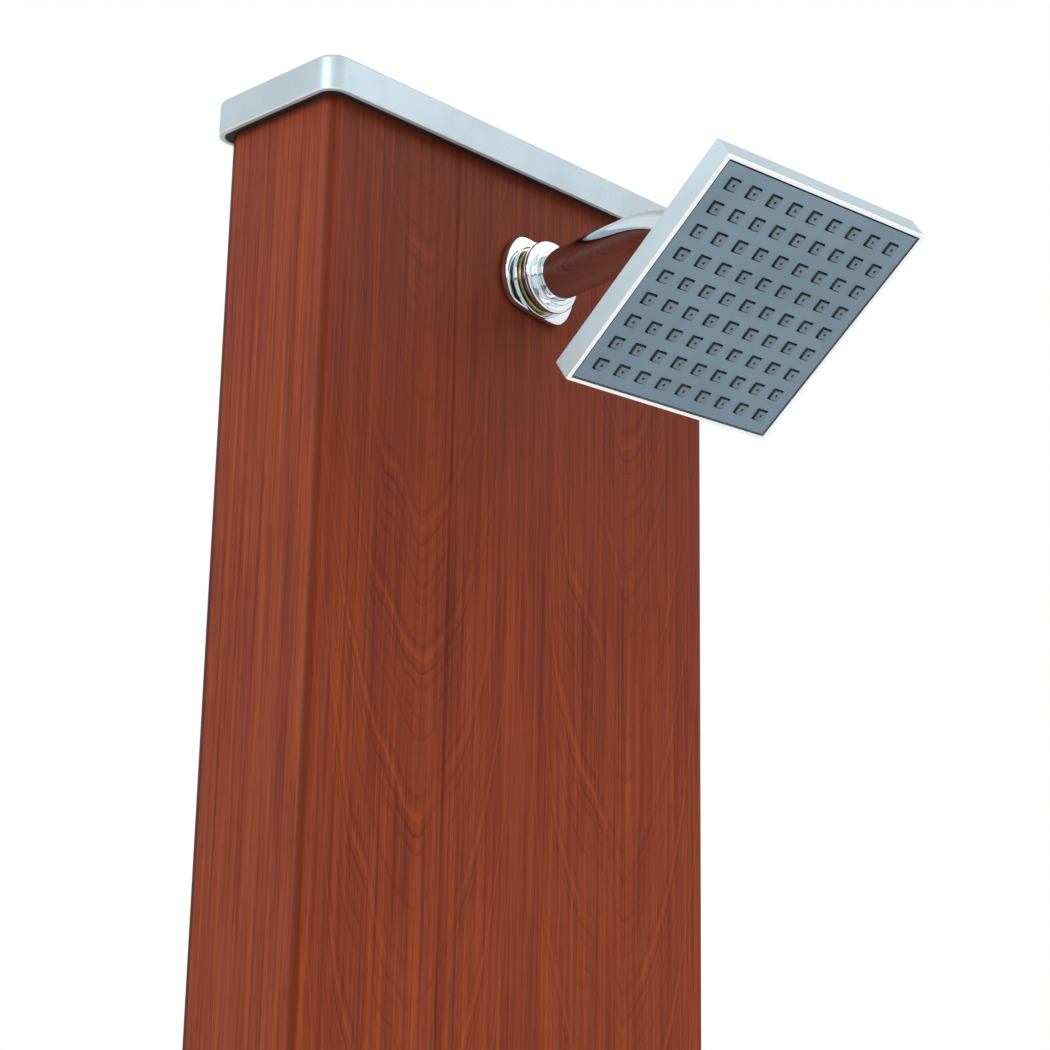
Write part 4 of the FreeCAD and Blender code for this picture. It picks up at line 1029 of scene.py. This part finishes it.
@dataclass
class WallUnion:
    """Flange, brass ring, threaded nipple and collar that hold the arm."""

    gasket: float = 1.5
    flange_radius: float = 19.5
    flange_flats: float = 29.4
    flange_thickness: float = 2.6
    flange_turn: float = -8.0
    flange_edge: float = 0.6
    gasket_inset: float = 1.1
    boss_radius: float = 15.3
    boss_height: float = 0.9
    ring_radius: float = 13.4
    ring_height: float = 0.5
    thread_radius: float = 12.4
    thread_root: float = 11.5
    thread_pitch: float = 1.15
    nose_length: float = 3.9
    nipple_bore: float = 7.5
    nipple_reach: float = 17.0
    bore: float = 10.6
    collar_radius: float = 14.6
    collar_start: float = 8.0
    collar_length: float = 2.8
    collar_round: float = 1.1
    neck_radius: float = 11.9
    neck_length: float = 1.9
    arm_radius: float = 10.1
    ring_edge: float = 0.2
    boss_sunk: float = 0.3
    flat_softness: int = 14
    sides: int = 128
    edge_steps: int = 5
    thread_sides: int = 96
    thread_rows: int = 48
    thread_play: float = 0.1
    shank_play: float = 0.12
    collar_steps: int = 6

    def build(self, place: Matrix) -> None:
        """Makes the union's visible pieces.

        Args:
            place: On the wall, with Z out of it.
        """
        self._flange(place)
        low = self.gasket + self.flange_thickness + self.boss_height
        high = low + self.ring_height
        stock = Stock("post", place)
        ring = softened([(self.bore, low), (self.ring_radius, low), (self.ring_radius, high),
                         (self.bore, high)], self.ring_edge)
        stock.lathe("brass_washer", ring, Finish.BRASS, ["brass_ring"])
        self._nipple(stock, high)
        self._collar(stock)

    def _two_flats(self, radius: float, half: float) -> List[Point2]:
        """A circle with two flats, half apart from the middle, that meet it in soft corners."""
        power = self.flat_softness
        outline = []
        for across, up, _ in circle(1.0, 0.0, self.sides):
            reach = (radius ** -power + (abs(up) / half) ** power) ** (-1 / power)
            outline.append((reach * across, reach * up))
        return outline

    def _flange(self, place: Matrix) -> None:
        """Makes the plate with two flats, its boss, and the gasket behind it."""
        turned = Stock("post", place @ Matrix.Rotation(math.radians(self.flange_turn), 4, "Z"))
        half = self.flange_flats / 2
        outline = self._two_flats(self.flange_radius, half)
        bore = facing(outline, self.bore)
        face = self.gasket + self.flange_thickness
        edge = self.flange_edge
        rings = [level(bore, self.gasket), level(outline, self.gasket)]
        rings += [level(inset(outline, edge * less), face - edge * more)
                  for less, more in quarter(self.edge_steps)]
        turned.piece("flange_plate", rings + [level(bore, face)], Finish.SHINE, ["wall_flange"], closed=True)

        foot = face - self.boss_sunk
        head = face + self.boss_height
        boss = softened([(self.bore, foot), (self.boss_radius, foot), (self.boss_radius, head),
                         (self.bore, head)], [0, 0, 0.3, 0.1], self.edge_steps)
        turned.lathe("flange_boss", boss, Finish.CHROME, steps=self.sides)
        pad = self._two_flats(self.flange_radius - self.gasket_inset, half - self.gasket_inset / 2)
        rings = [level(bore, 0), level(pad, 0), level(pad, self.gasket), level(bore, self.gasket)]
        turned.piece("gasket_pad", rings, Finish.BLACK, ["flange_gasket"], closed=True)

    def _nipple(self, stock: Stock, low: float) -> None:
        """Makes the nipple, with its thread standing clear between ring and collar."""
        high = low + self.nose_length
        sides = self.thread_sides
        depth = self.thread_radius - self.thread_root
        rings = []
        for row in range(self.thread_rows + 1):
            height = low + (high - low) * row / self.thread_rows
            ring = []
            for side, (across, up, _) in enumerate(circle(1.0, height, sides)):
                phase = (height / self.thread_pitch - side / sides) % 1.0
                radius = self.thread_root + depth * (1 - abs(2 * phase - 1))
                ring.append((radius * across, radius * up, height))
            rings.append(ring)
        shank = self.bore - self.shank_play
        for radius, height in ((self.nipple_bore, high), (self.nipple_bore, -self.nipple_reach),
                               (shank, -self.nipple_reach), (shank, low)):
            rings.append(circle(radius, height, sides))
        stock.piece("threaded_nipple", rings, Finish.DARK, ["wall_nipple"], closed=True)

    def _collar(self, stock: Stock) -> None:
        """Makes the round collar that draws the arm on."""
        step = self.collar_start + self.collar_length
        top = step + self.neck_length
        nose = self.thread_radius + self.thread_play
        under = step - self.thread_play
        profile = softened(
            [(nose, self.collar_start), (self.collar_radius, self.collar_start), (self.collar_radius, step),
             (self.neck_radius, step), (self.neck_radius, top), (self.arm_radius, top),
             (self.arm_radius, under), (nose, under)],
            [0.15, self.collar_round, self.collar_round, 0.25, self.collar_round / 2, 0.1, 0, 0],
            self.collar_steps)
        stock.lathe("collar", profile, Finish.SHINE, ["arm_collar"], steps=self.sides)


@dataclass
class Arm:
    """The bent tube, from the union's seal to the ball's neck."""

    radius: float = 10.0
    wall: float = 1.5
    begin: float = 10.0
    start: float = 13.2
    rise: float = 5.3
    rise_bend: float = 30.0
    run: float = 35.7
    bend: float = 39.0
    dip: float = 40.0
    to_ball: float = 14.6
    shoulder: float = 11.9
    rise_steps: int = 6
    bend_steps: int = 28
    sides: int = 96

    def path(self) -> Path:
        """The centre line, from the wall outwards.

        Returns:
            Points as (up, out), each with its heading from straight out, in radians upwards.
        """
        rise, dip = math.radians(self.rise), -math.radians(self.dip)
        spots = [(Vector((0.0, self.begin)), 0.0), (Vector((0.0, self.start)), 0.0)]
        spots += self._turn(spots[-1][0], 0.0, rise, self.rise_bend, self.rise_steps)
        ahead = Vector((math.sin(rise), math.cos(rise)))
        spots.append((spots[-1][0] + ahead * self.run, rise))
        spots += self._turn(spots[-1][0], rise, dip, self.bend, self.bend_steps)
        last = Vector((math.sin(dip), math.cos(dip)))
        spots.append((spots[-1][0] + last * (self.to_ball - self.shoulder), dip))
        return spots

    @staticmethod
    def _turn(start: Vector, begin: float, end: float, radius: float, steps: int) -> Path:
        """A round bend between two headings."""
        way = 1 if end > begin else -1
        centre = start + Vector((math.cos(begin), -math.sin(begin))) * radius * way
        result = []
        for step in range(1, steps + 1):
            angle = begin + (end - begin) * step / steps
            result.append((centre - Vector((math.cos(angle), -math.sin(angle))) * radius * way, angle))
        return result

    def build(self, place: Matrix) -> None:
        """Makes the tube.

        Args:
            place: On the wall, with Z out of it and Y up.
        """
        outer = []
        inner = []
        for spot, heading in self.path():
            up = Vector((0, math.cos(heading), -math.sin(heading)))
            centre = Vector((0, spot[0], spot[1]))
            for rings, radius in ((outer, self.radius), (inner, self.radius - self.wall)):
                rings.append([centre + Vector((1, 0, 0)) * across + up * along
                              for across, along, _ in circle(radius, 0.0, self.sides)])
        tube = outer + inner[::-1]
        Stock("post", place).piece("arm_tube", tube, Finish.CHROME, ["shower_arm"], closed=True)
        dressed("ball_stud", Finish.CHROME)


# ---------------------------------------------------------------- head


@dataclass
class Head:
    """Square head: a thin chrome box, a face plate with windows, and rubber nozzles."""

    side: float = 100.0
    thickness: float = 10.0
    wall: float = 1.6
    edge: float = 0.45
    lip: float = 0.6
    face_to_ball: float = 27.0
    roll: float = 1.5
    recess: float = 0.5
    plate: float = 2.2
    gap: float = 0.7
    rows: int = 9
    pitch: float = 10.05
    window: float = 5.0
    bevel: float = 0.16
    nub: float = 4.2
    nub_tip: float = 3.9
    nub_proud: float = 0.8
    nub_skin: float = 0.2
    neck_foot: float = 15.4
    neck_foot_height: float = 7.0
    neck_radius: float = 12.92
    neck_top: float = -1.2
    socket: float = 10.32
    spigot: float = 7.5
    lip_edge: float = 0.15
    side_steps: int = 23
    edge_steps: int = 4
    neck_steps: int = 5
    mat_steps: int = 3
    inner_corner: float = 0.5
    neck_flare: float = 4.0
    neck_flare_height: float = 1.6
    socket_turns: Tuple[float, ...] = (83.0, 70.0, 58.0, 46.6)
    mat: float = 1.2
    nub_corner: float = 0.5
    nub_steps: int = 5
    nub_edge: float = 0.16
    nub_edge_height: float = 0.08
    cup: float = 0.8
    cup_edge: float = 0.12
    hole: float = 0.66
    hole_floor: float = 0.6
    hair: float = 0.01

    def place(self) -> Matrix:
        """At the ball's centre, with Z out of the head's back.

        Returns:
            The place, in millimetres.
        """
        tilt, sway, spin = (joint(name) for name in ("head_tilt", "head_sway", "head_spin"))
        turn = Matrix((tilt["axis"], sway["axis"], spin["axis"])).transposed().to_4x4()
        ball = Vector(tilt["pos_m"]) / MM
        return Matrix.Translation(ball) @ turn @ Matrix.Rotation(math.radians(self.roll), 4, "Z")

    def build(self) -> None:
        """Makes the box, the plate and the nozzles, and dresses the joint."""
        place = self.place()
        stock = Stock("head", place)
        self._shell(stock)
        self._plate(stock)
        self._nozzles(stock)
        dressed("ball_nut", Finish.CHROME)
        dressed("ball_seat", Finish.WHITE)
        dressed("inner_cover", Finish.WHITE)
        dressed("inlet_filter", Finish.BLACK)

    def _square(self, side: float, height: float, radius: float) -> Ring:
        """A ring of 96 points round a square."""
        return level(box_outline(side, side, radius, self.side_steps), height)

    def _circle(self, radius: float, height: float) -> Ring:
        """A ring of 96 points round a circle that starts where the square's does."""
        outline = box_outline(self.side, self.side, self.edge, self.side_steps)
        return level(facing(outline, radius), height)

    def _shell(self, stock: Stock) -> None:
        """Makes the box with its back and neck in one skin, and the lip round its face in painted highlight.
        """
        low = -self.face_to_ball
        back = low + self.thickness
        edge = self.edge
        corner = edge + self.lip_edge
        inside = self.side - 2 * self.wall
        rings = [self._square(inside, back - self.wall, self.inner_corner),
                 self._square(inside, low + self.lip, self.inner_corner),
                 self._square(self.side, low + self.lip, corner)]
        rings += [self._square(self.side - 2 * edge * less, back - edge * more, corner)
                  for less, more in quarter(self.edge_steps)]
        foot_top = back + self.neck_foot_height
        neck = softened(
            [(self.neck_foot + self.neck_flare, back), (self.neck_foot, back + self.neck_flare_height),
             (self.neck_foot, foot_top), (self.neck_radius, foot_top), (self.neck_radius, self.neck_top)],
            [0, 1.2, 0.8, 0.2, 0], self.neck_steps)
        neck.append((math.sqrt(self.socket ** 2 - self.neck_top ** 2), self.neck_top))
        for turn in map(math.radians, self.socket_turns):
            neck.append((self.socket * math.sin(turn), -self.socket * math.cos(turn)))
        neck.append((self.spigot, back - self.wall))
        rings += [self._circle(*spot) for spot in neck]
        stock.piece("head_box", rings, Finish.SATIN, ["head_shell"], closed=True)

        lip = [self._square(inside, low + self.lip, self.inner_corner),
               self._square(inside, low + self.lip_edge, self.inner_corner),
               self._square(inside + 2 * self.lip_edge, low, corner)]
        lip += [self._square(self.side - 2 * edge * more, low + edge * less, corner)
                for less, more in quarter(self.edge_steps)]
        lip.append(self._square(self.side, low + self.lip, corner))
        stock.piece("head_lip", lip, Finish.EDGE, closed=True)

    def _middles(self) -> List[float]:
        """The windows' middles along one side."""
        first = -self.pitch * (self.rows - 1) / 2
        return [first + self.pitch * row for row in range(self.rows)]

    def _plate(self, stock: Stock) -> None:
        """Makes the face plate, with a bevelled edge round each window."""
        face = -self.face_to_ball + self.recess
        back = face + self.plate
        half = self.window / 2
        wide = half + self.bevel
        outer = self.side / 2 - self.wall - self.gap
        mesh = bmesh.new()
        for height, reach in ((face, wide), (back, half)):
            breaks = [middle + sign * reach for middle in self._middles() for sign in (-1, 1)]
            cuts = [-outer] + breaks + [outer]
            spots = {(column, row): mesh.verts.new((x, y, height))
                     for column, x in enumerate(cuts) for row, y in enumerate(cuts)}
            for column in range(len(cuts) - 1):
                for row in range(len(cuts) - 1):
                    if column % 2 == 0 or row % 2 == 0:
                        mesh.faces.new((spots[column, row], spots[column + 1, row],
                                        spots[column + 1, row + 1], spots[column, row + 1]))
        for x in self._middles():
            for y in self._middles():
                sides = ((wide, face), (half, face + self.bevel), (half, back))
                skin_rings(mesh, [level(square(reach), height, (x, y)) for reach, height in sides])
        skin_rings(mesh, [level(square(outer), height) for height in (face, back)])
        stock.finished("face_plate", mesh, Finish.FACE, ["head_face"])

    def _nozzles(self, stock: Stock) -> None:
        """Makes the rubber mat with its tapered, cupped nozzles."""
        face = -self.face_to_ball + self.recess
        seat = face + self.plate
        tip = face - self.nub_proud
        top = tip + self.nub_skin
        side = self.side - 2 * self.wall - 2 * self.gap
        mesh, tips, hole_shades = bmesh.new(), bmesh.new(), bmesh.new()
        sheet = box_outline(side, side, self.inner_corner, self.mat_steps)
        skin_rings(mesh, [level(sheet, seat), level(sheet, seat + self.mat)], filled=True)
        for x in self._middles():
            for y in self._middles():
                spot = (x, y)
                shown = self._nub(spot, self.nub_tip, top)
                mesh.faces.new(skin_rings(mesh, [self._nub(spot, self.nub, seat), shown])[-1])
                skin_rings(tips, [shown, self._nub(spot, self.nub_tip, tip + self.nub_edge_height),
                                  self._nub(spot, self.nub_tip - self.nub_edge, tip),
                                  self._cup(spot, self.cup, tip),
                                  self._cup(spot, self.hole, tip + self.cup_edge),
                                  self._cup(spot, self.hole_floor, top - self.hair)])
                # painted shade: a black disc closes each nozzle hole a little under its tip
                skin_rings(hole_shades, [self._cup(spot, self.hole, top - 2 * self.hair),
                                   self._cup(spot, self.hole, top)], filled=True)
        stock.finished("nozzle_tips", tips, Finish.GREY)
        stock.finished("nozzle_hole_shade", hole_shades, Finish.BLACK)
        stock.finished("nozzle_pad", mesh, Finish.SHADED, ["nozzle_mat"])

    def _nub(self, spot: Point2, width: float, height: float) -> Ring:
        """A round-cornered square about a nozzle's middle, at a height."""
        return level(box_outline(width, width, self.nub_corner, self.nub_steps), height, spot)

    def _cup(self, spot: Point2, radius: float, height: float) -> Ring:
        """A circle about a nozzle's middle, with points that face the square's."""
        outline = box_outline(self.nub, self.nub, self.nub_corner, self.nub_steps)
        return level(facing(outline, radius), height, spot)


# ---------------------------------------------------------------- valve and lever


@dataclass
class Valve:
    """Trim of the quarter-turn valve: the domed rose on the wall, and the lever that turns."""

    rose_radius: float = 32.0
    rose_height: float = 10.5
    rose_wall: float = 1.5
    rose_rim: float = 2.5
    shoulder_radius: float = 29.0
    shoulder_height: float = 6.5
    flat_radius: float = 19.0
    hole: float = 12.4
    hub_radius: float = 19.0
    hub_gap: float = 0.6
    hub_height: float = 25.0
    hub_round: float = 3.0
    hub_inside: float = 11.8
    hub_floor: float = 19.4
    screw_seat: float = 27.8
    screw_well: float = 30.2
    screw_gap: float = 3.8
    spindle_hole: float = 4.05
    plug_radius: float = 7.5
    plug_height: float = 2.0
    plug_proud: float = 0.6
    plug_crown: float = 1.5
    plug_gap: float = 0.1
    rod_start: float = 12.5
    rod_end: float = 84.0
    rod_root: float = 6.6
    rod_tip: float = 4.8
    rod_out: float = 13.0
    rod_round: float = 2.9
    rose_steps: int = 6
    hub_steps: int = 8
    rod_lengths: int = 8
    rod_sides: int = 64
    sides: int = 128
    plug_sides: int = 96
    plug_edge: float = 0.1
    plug_round: float = 0.12

    def build(self, place: Matrix) -> None:
        """Makes the rose, the lever and its plug.

        Args:
            place: On the wall, with Z out of it and Y up.
        """
        under = self.rose_height - self.rose_wall
        skirt = self.rose_radius - self.rose_wall
        rose = softened(
            [(skirt, 0), (self.rose_radius, 0), (self.rose_radius, self.rose_rim),
             (self.shoulder_radius, self.shoulder_height), (self.flat_radius, self.rose_height),
             (self.hole, self.rose_height), (self.hole, under), (self.flat_radius, under),
             (self.shoulder_radius - self.rose_wall, self.shoulder_height - self.rose_wall),
             (skirt, self.rose_rim - self.rose_wall / 2)],
            [0.1, 0.2, 2.0, 5.0, 4.0, 0.3, 0.1, 0.3, 0.3, 0.3], self.rose_steps)
        Stock("post", place).lathe("rose", rose, Finish.CHROME, ["valve_rose"], steps=self.sides)
        self._lever(Stock("lever", place))

    def _lever(self, stock: Stock) -> None:
        """Makes the hub, the tapered rod and the plug in the hub's crown."""
        plug = self.plug_radius
        foot = self.rose_height + self.hub_gap
        crown = foot + self.hub_height
        hub = softened(
            [(self.hub_inside, foot), (self.hub_radius, foot), (self.hub_radius, crown),
             (plug + self.plug_gap, crown), (plug + self.plug_gap, self.screw_well),
             (self.screw_gap, self.screw_well), (self.screw_gap, self.screw_seat),
             (self.spindle_hole, self.screw_seat), (self.spindle_hole, self.hub_floor),
             (self.hub_inside, self.hub_floor)],
            [0.2, 0.4, self.hub_round, 0.15, 0, 0, 0, 0, 0, 0], self.hub_steps)
        stock.lathe("lever_hub", hub, Finish.CHROME, ["lever_handle"], steps=self.sides)

        straight = self.rod_end - self.rod_round - self.rod_start
        spots = [(self.rod_start + straight * share / self.rod_lengths, 0.0)
                 for share in range(self.rod_lengths + 1)]
        spots += [(self.rod_end - self.rod_round * more, self.rod_round * less)
                  for less, more in quarter(self.rod_lengths)[1:]]
        rod = []
        for down, less in spots:
            share = (down - self.rod_start) / (self.rod_end - self.rod_start)
            radius = self.rod_root + (self.rod_tip - self.rod_root) * share - less
            ring = circle(radius, 0.0, self.rod_sides)
            rod.append([(across, -down, out + foot + self.rod_out) for across, out, _ in ring])
        stock.piece("lever_rod", rod, Finish.CHROME)

        trim = [circle(radius, height, self.plug_sides) for radius, height in (
            (plug, crown - self.plug_height), (plug, crown - self.plug_edge), (plug - self.plug_round, crown),
            (plug - self.plug_crown, crown + self.plug_proud))]
        stock.piece("lever_button", trim, Finish.SATIN, ["lever_plug"])


# ---------------------------------------------------------------- stage


# each lamp's name, place and side in millimetres, and power in watts
LAMPS = (
    ("key_lamp", (900, -1500, 3500), 1300, 13.0),
    ("low_lamp", (400, -1500, 1100), 900, 6.0),
    ("side_lamp", (-2300, -500, 2700), 1100, 30.0),
)


@dataclass(frozen=True)
class Studio:
    """Camera, lamps, floor and the white room round the post."""

    lens: float = 72.870
    sensor: float = 36.0
    eye: Tuple[float, float, float] = (-573.69, -570.68, 1790.56)
    right: Tuple[float, float, float] = (0.68382, -0.72943, 0.01786)
    up: Tuple[float, float, float] = (-0.19564, -0.15972, 0.96758)
    forward: Tuple[float, float, float] = (0.70294, 0.66515, 0.25192)
    ambient: float = 0.62
    floor_white: float = 0.8
    near: float = 0.01
    aim: Tuple[float, float, float] = (0.0, 0.0, 2000.0)
    floor_reach: float = 40.0
    sky_edges: Point2 = (0.55, 0.98)
    sky_dim: float = 0.42
    band_foot: Point2 = (-0.42, -0.3)
    band_head: Point2 = (0.0, 0.12)
    band_dim: float = 0.7

    def build(self) -> None:
        """Sets the whole stage."""
        self._camera()
        self._room()
        self._floor()
        for lamp in LAMPS:
            self._lamp(*lamp)

    def _camera(self) -> None:
        """Puts the camera where the photograph's stood."""
        data = bpy.data.cameras.new("view")
        data.lens = self.lens
        data.sensor_width = self.sensor
        data.clip_start = self.near
        made = placed("view", data)
        back = tuple(-part for part in self.forward)
        turn = Matrix((self.right, self.up, back)).transposed().to_4x4()
        made.matrix_world = Matrix.Translation(Vector(self.eye) * MM) @ turn
        bpy.context.scene.camera = made

    def _lamp(self, name: str, spot: Tuple[float, float, float], size: float, power: float) -> None:
        """Hangs a soft square lamp that looks at the head of the post."""
        data = bpy.data.lights.new(name, "AREA")
        data.shape = "SQUARE"
        data.size = size * MM
        data.energy = power
        made = placed(name, data)
        made.location = Vector(spot) * MM
        aim = Vector(self.aim) * MM - made.location
        made.rotation_euler = aim.to_track_quat("-Z", "Y").to_euler()

    def _room(self) -> None:
        """Makes the world: white to the camera, bright in metal, and soft light elsewhere."""
        world = bpy.data.worlds.new("room")
        bpy.context.scene.world = world
        tree = ShaderTree(world)
        way = tree.node("ShaderNodeTexCoord").outputs["Generated"]
        across, along, up = tree.parts(way)
        shaded = (across * 0.62 + along * 0.12 + up * 0.775).step(*self.sky_edges)
        band = up.step(*self.band_foot) * (1.0 - up.step(*self.band_head))
        mirror = (1.0 - shaded * self.sky_dim) * (1.0 - band * self.band_dim)
        soft = self.ambient * (0.92 + along * -0.14 + across * -0.14 + up * 0.1)
        camera, glossy = self._eyes(tree)
        strength = camera + (1.0 - camera) * (glossy * mirror + (1.0 - glossy) * soft)
        back = tree.node("ShaderNodeBackground", None, {"Color": (1.0, 1.0, 1.0), "Strength": strength})
        output = tree.node("ShaderNodeOutputWorld")
        tree.tree.links.new(back.outputs[0], output.inputs["Surface"])

    @staticmethod
    def _eyes(tree: ShaderTree) -> Tuple[Shade, Shade]:
        """Tells rays that are seen, straight or in metal and glass, from those that only light."""
        rays = tree.node("ShaderNodeLightPath").outputs
        mirrored = tree.maths("MAXIMUM", Shade(tree, rays["Is Glossy Ray"]),
                              Shade(tree, rays["Is Transmission Ray"]))
        return Shade(tree, rays["Is Camera Ray"]), mirrored

    def _floor(self) -> None:
        """Lays the pale floor, which keeps the post's shadow."""
        mesh = bmesh.new()
        bmesh.ops.create_grid(mesh, x_segments=2, y_segments=2, size=self.floor_reach)
        made = settled("floor", mesh)
        paint = Paint("pale_floor")
        grain = paint.noise(paint.place(), 0.4, detail=3.0)
        pale = paint.mix(grain.step(0.3, 0.7), srgb(226, 226, 224), srgb(232, 232, 230))
        paint.finish({"Base Color": pale, "Roughness": 0.8})
        camera, glossy = self._eyes(paint)
        glow = paint.node("ShaderNodeEmission", None, {"Color": (1.0, 1.0, 1.0), "Strength": 1.0})
        both = paint.node("ShaderNodeMixShader", None, {
            0: paint.maths("MAXIMUM", camera, glossy) * self.floor_white, 1: paint.shader.outputs[0],
            2: glow.outputs[0]})
        paint.tree.links.new(both.outputs[0], paint.output.inputs["Surface"])
        made.data.materials.append(paint.material)


# ---------------------------------------------------------------- the whole


HIDDEN_PARTS: Dict[Finish, Tuple[str, ...]] = {
    Finish.STEEL: ("base_plate", "right_bracket", "left_bracket", "bracket_bolts", "side_screws",
                   "lock_washer", "inlet_washer", "lever_screw"),
    Finish.BRASS: ("lock_nut", "valve_body", "valve_nut", "valve_cartridge", "valve_spindle", "arm_elbow",
                   "riser_top_nut", "riser_foot_nut", "supply_top_nut", "supply_foot_nut", "inlet_nipple",
                   "inlet_nut", "inlet_elbow"),
    Finish.BLACK: ("union_seal", "inlet_seal"),
    Finish.BRAID: ("riser_hose", "supply_hose"),
    Finish.SILVER: ("base_cover",),
}


def main() -> None:
    """Builds the scene, piece by piece."""
    logging.basicConfig(level=logging.INFO, format="%(message)s")
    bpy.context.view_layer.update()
    Studio().build()
    column = Column()
    column.build()
    Cap(column=column).build()
    arm_place = facing_front(middle_of("wall_flange").z, column.depth)
    WallUnion().build(arm_place)
    Arm().build(arm_place)
    Head().build()
    Valve().build(facing_front(joint("lever_turn")["pos_m"][2] / MM, column.depth))
    for finish, nodes in HIDDEN_PARTS.items():
        for node in nodes:
            dressed(node, finish)
    bpy.context.scene.view_settings.view_transform = "Standard"


if __name__ == "__main__":
    main()
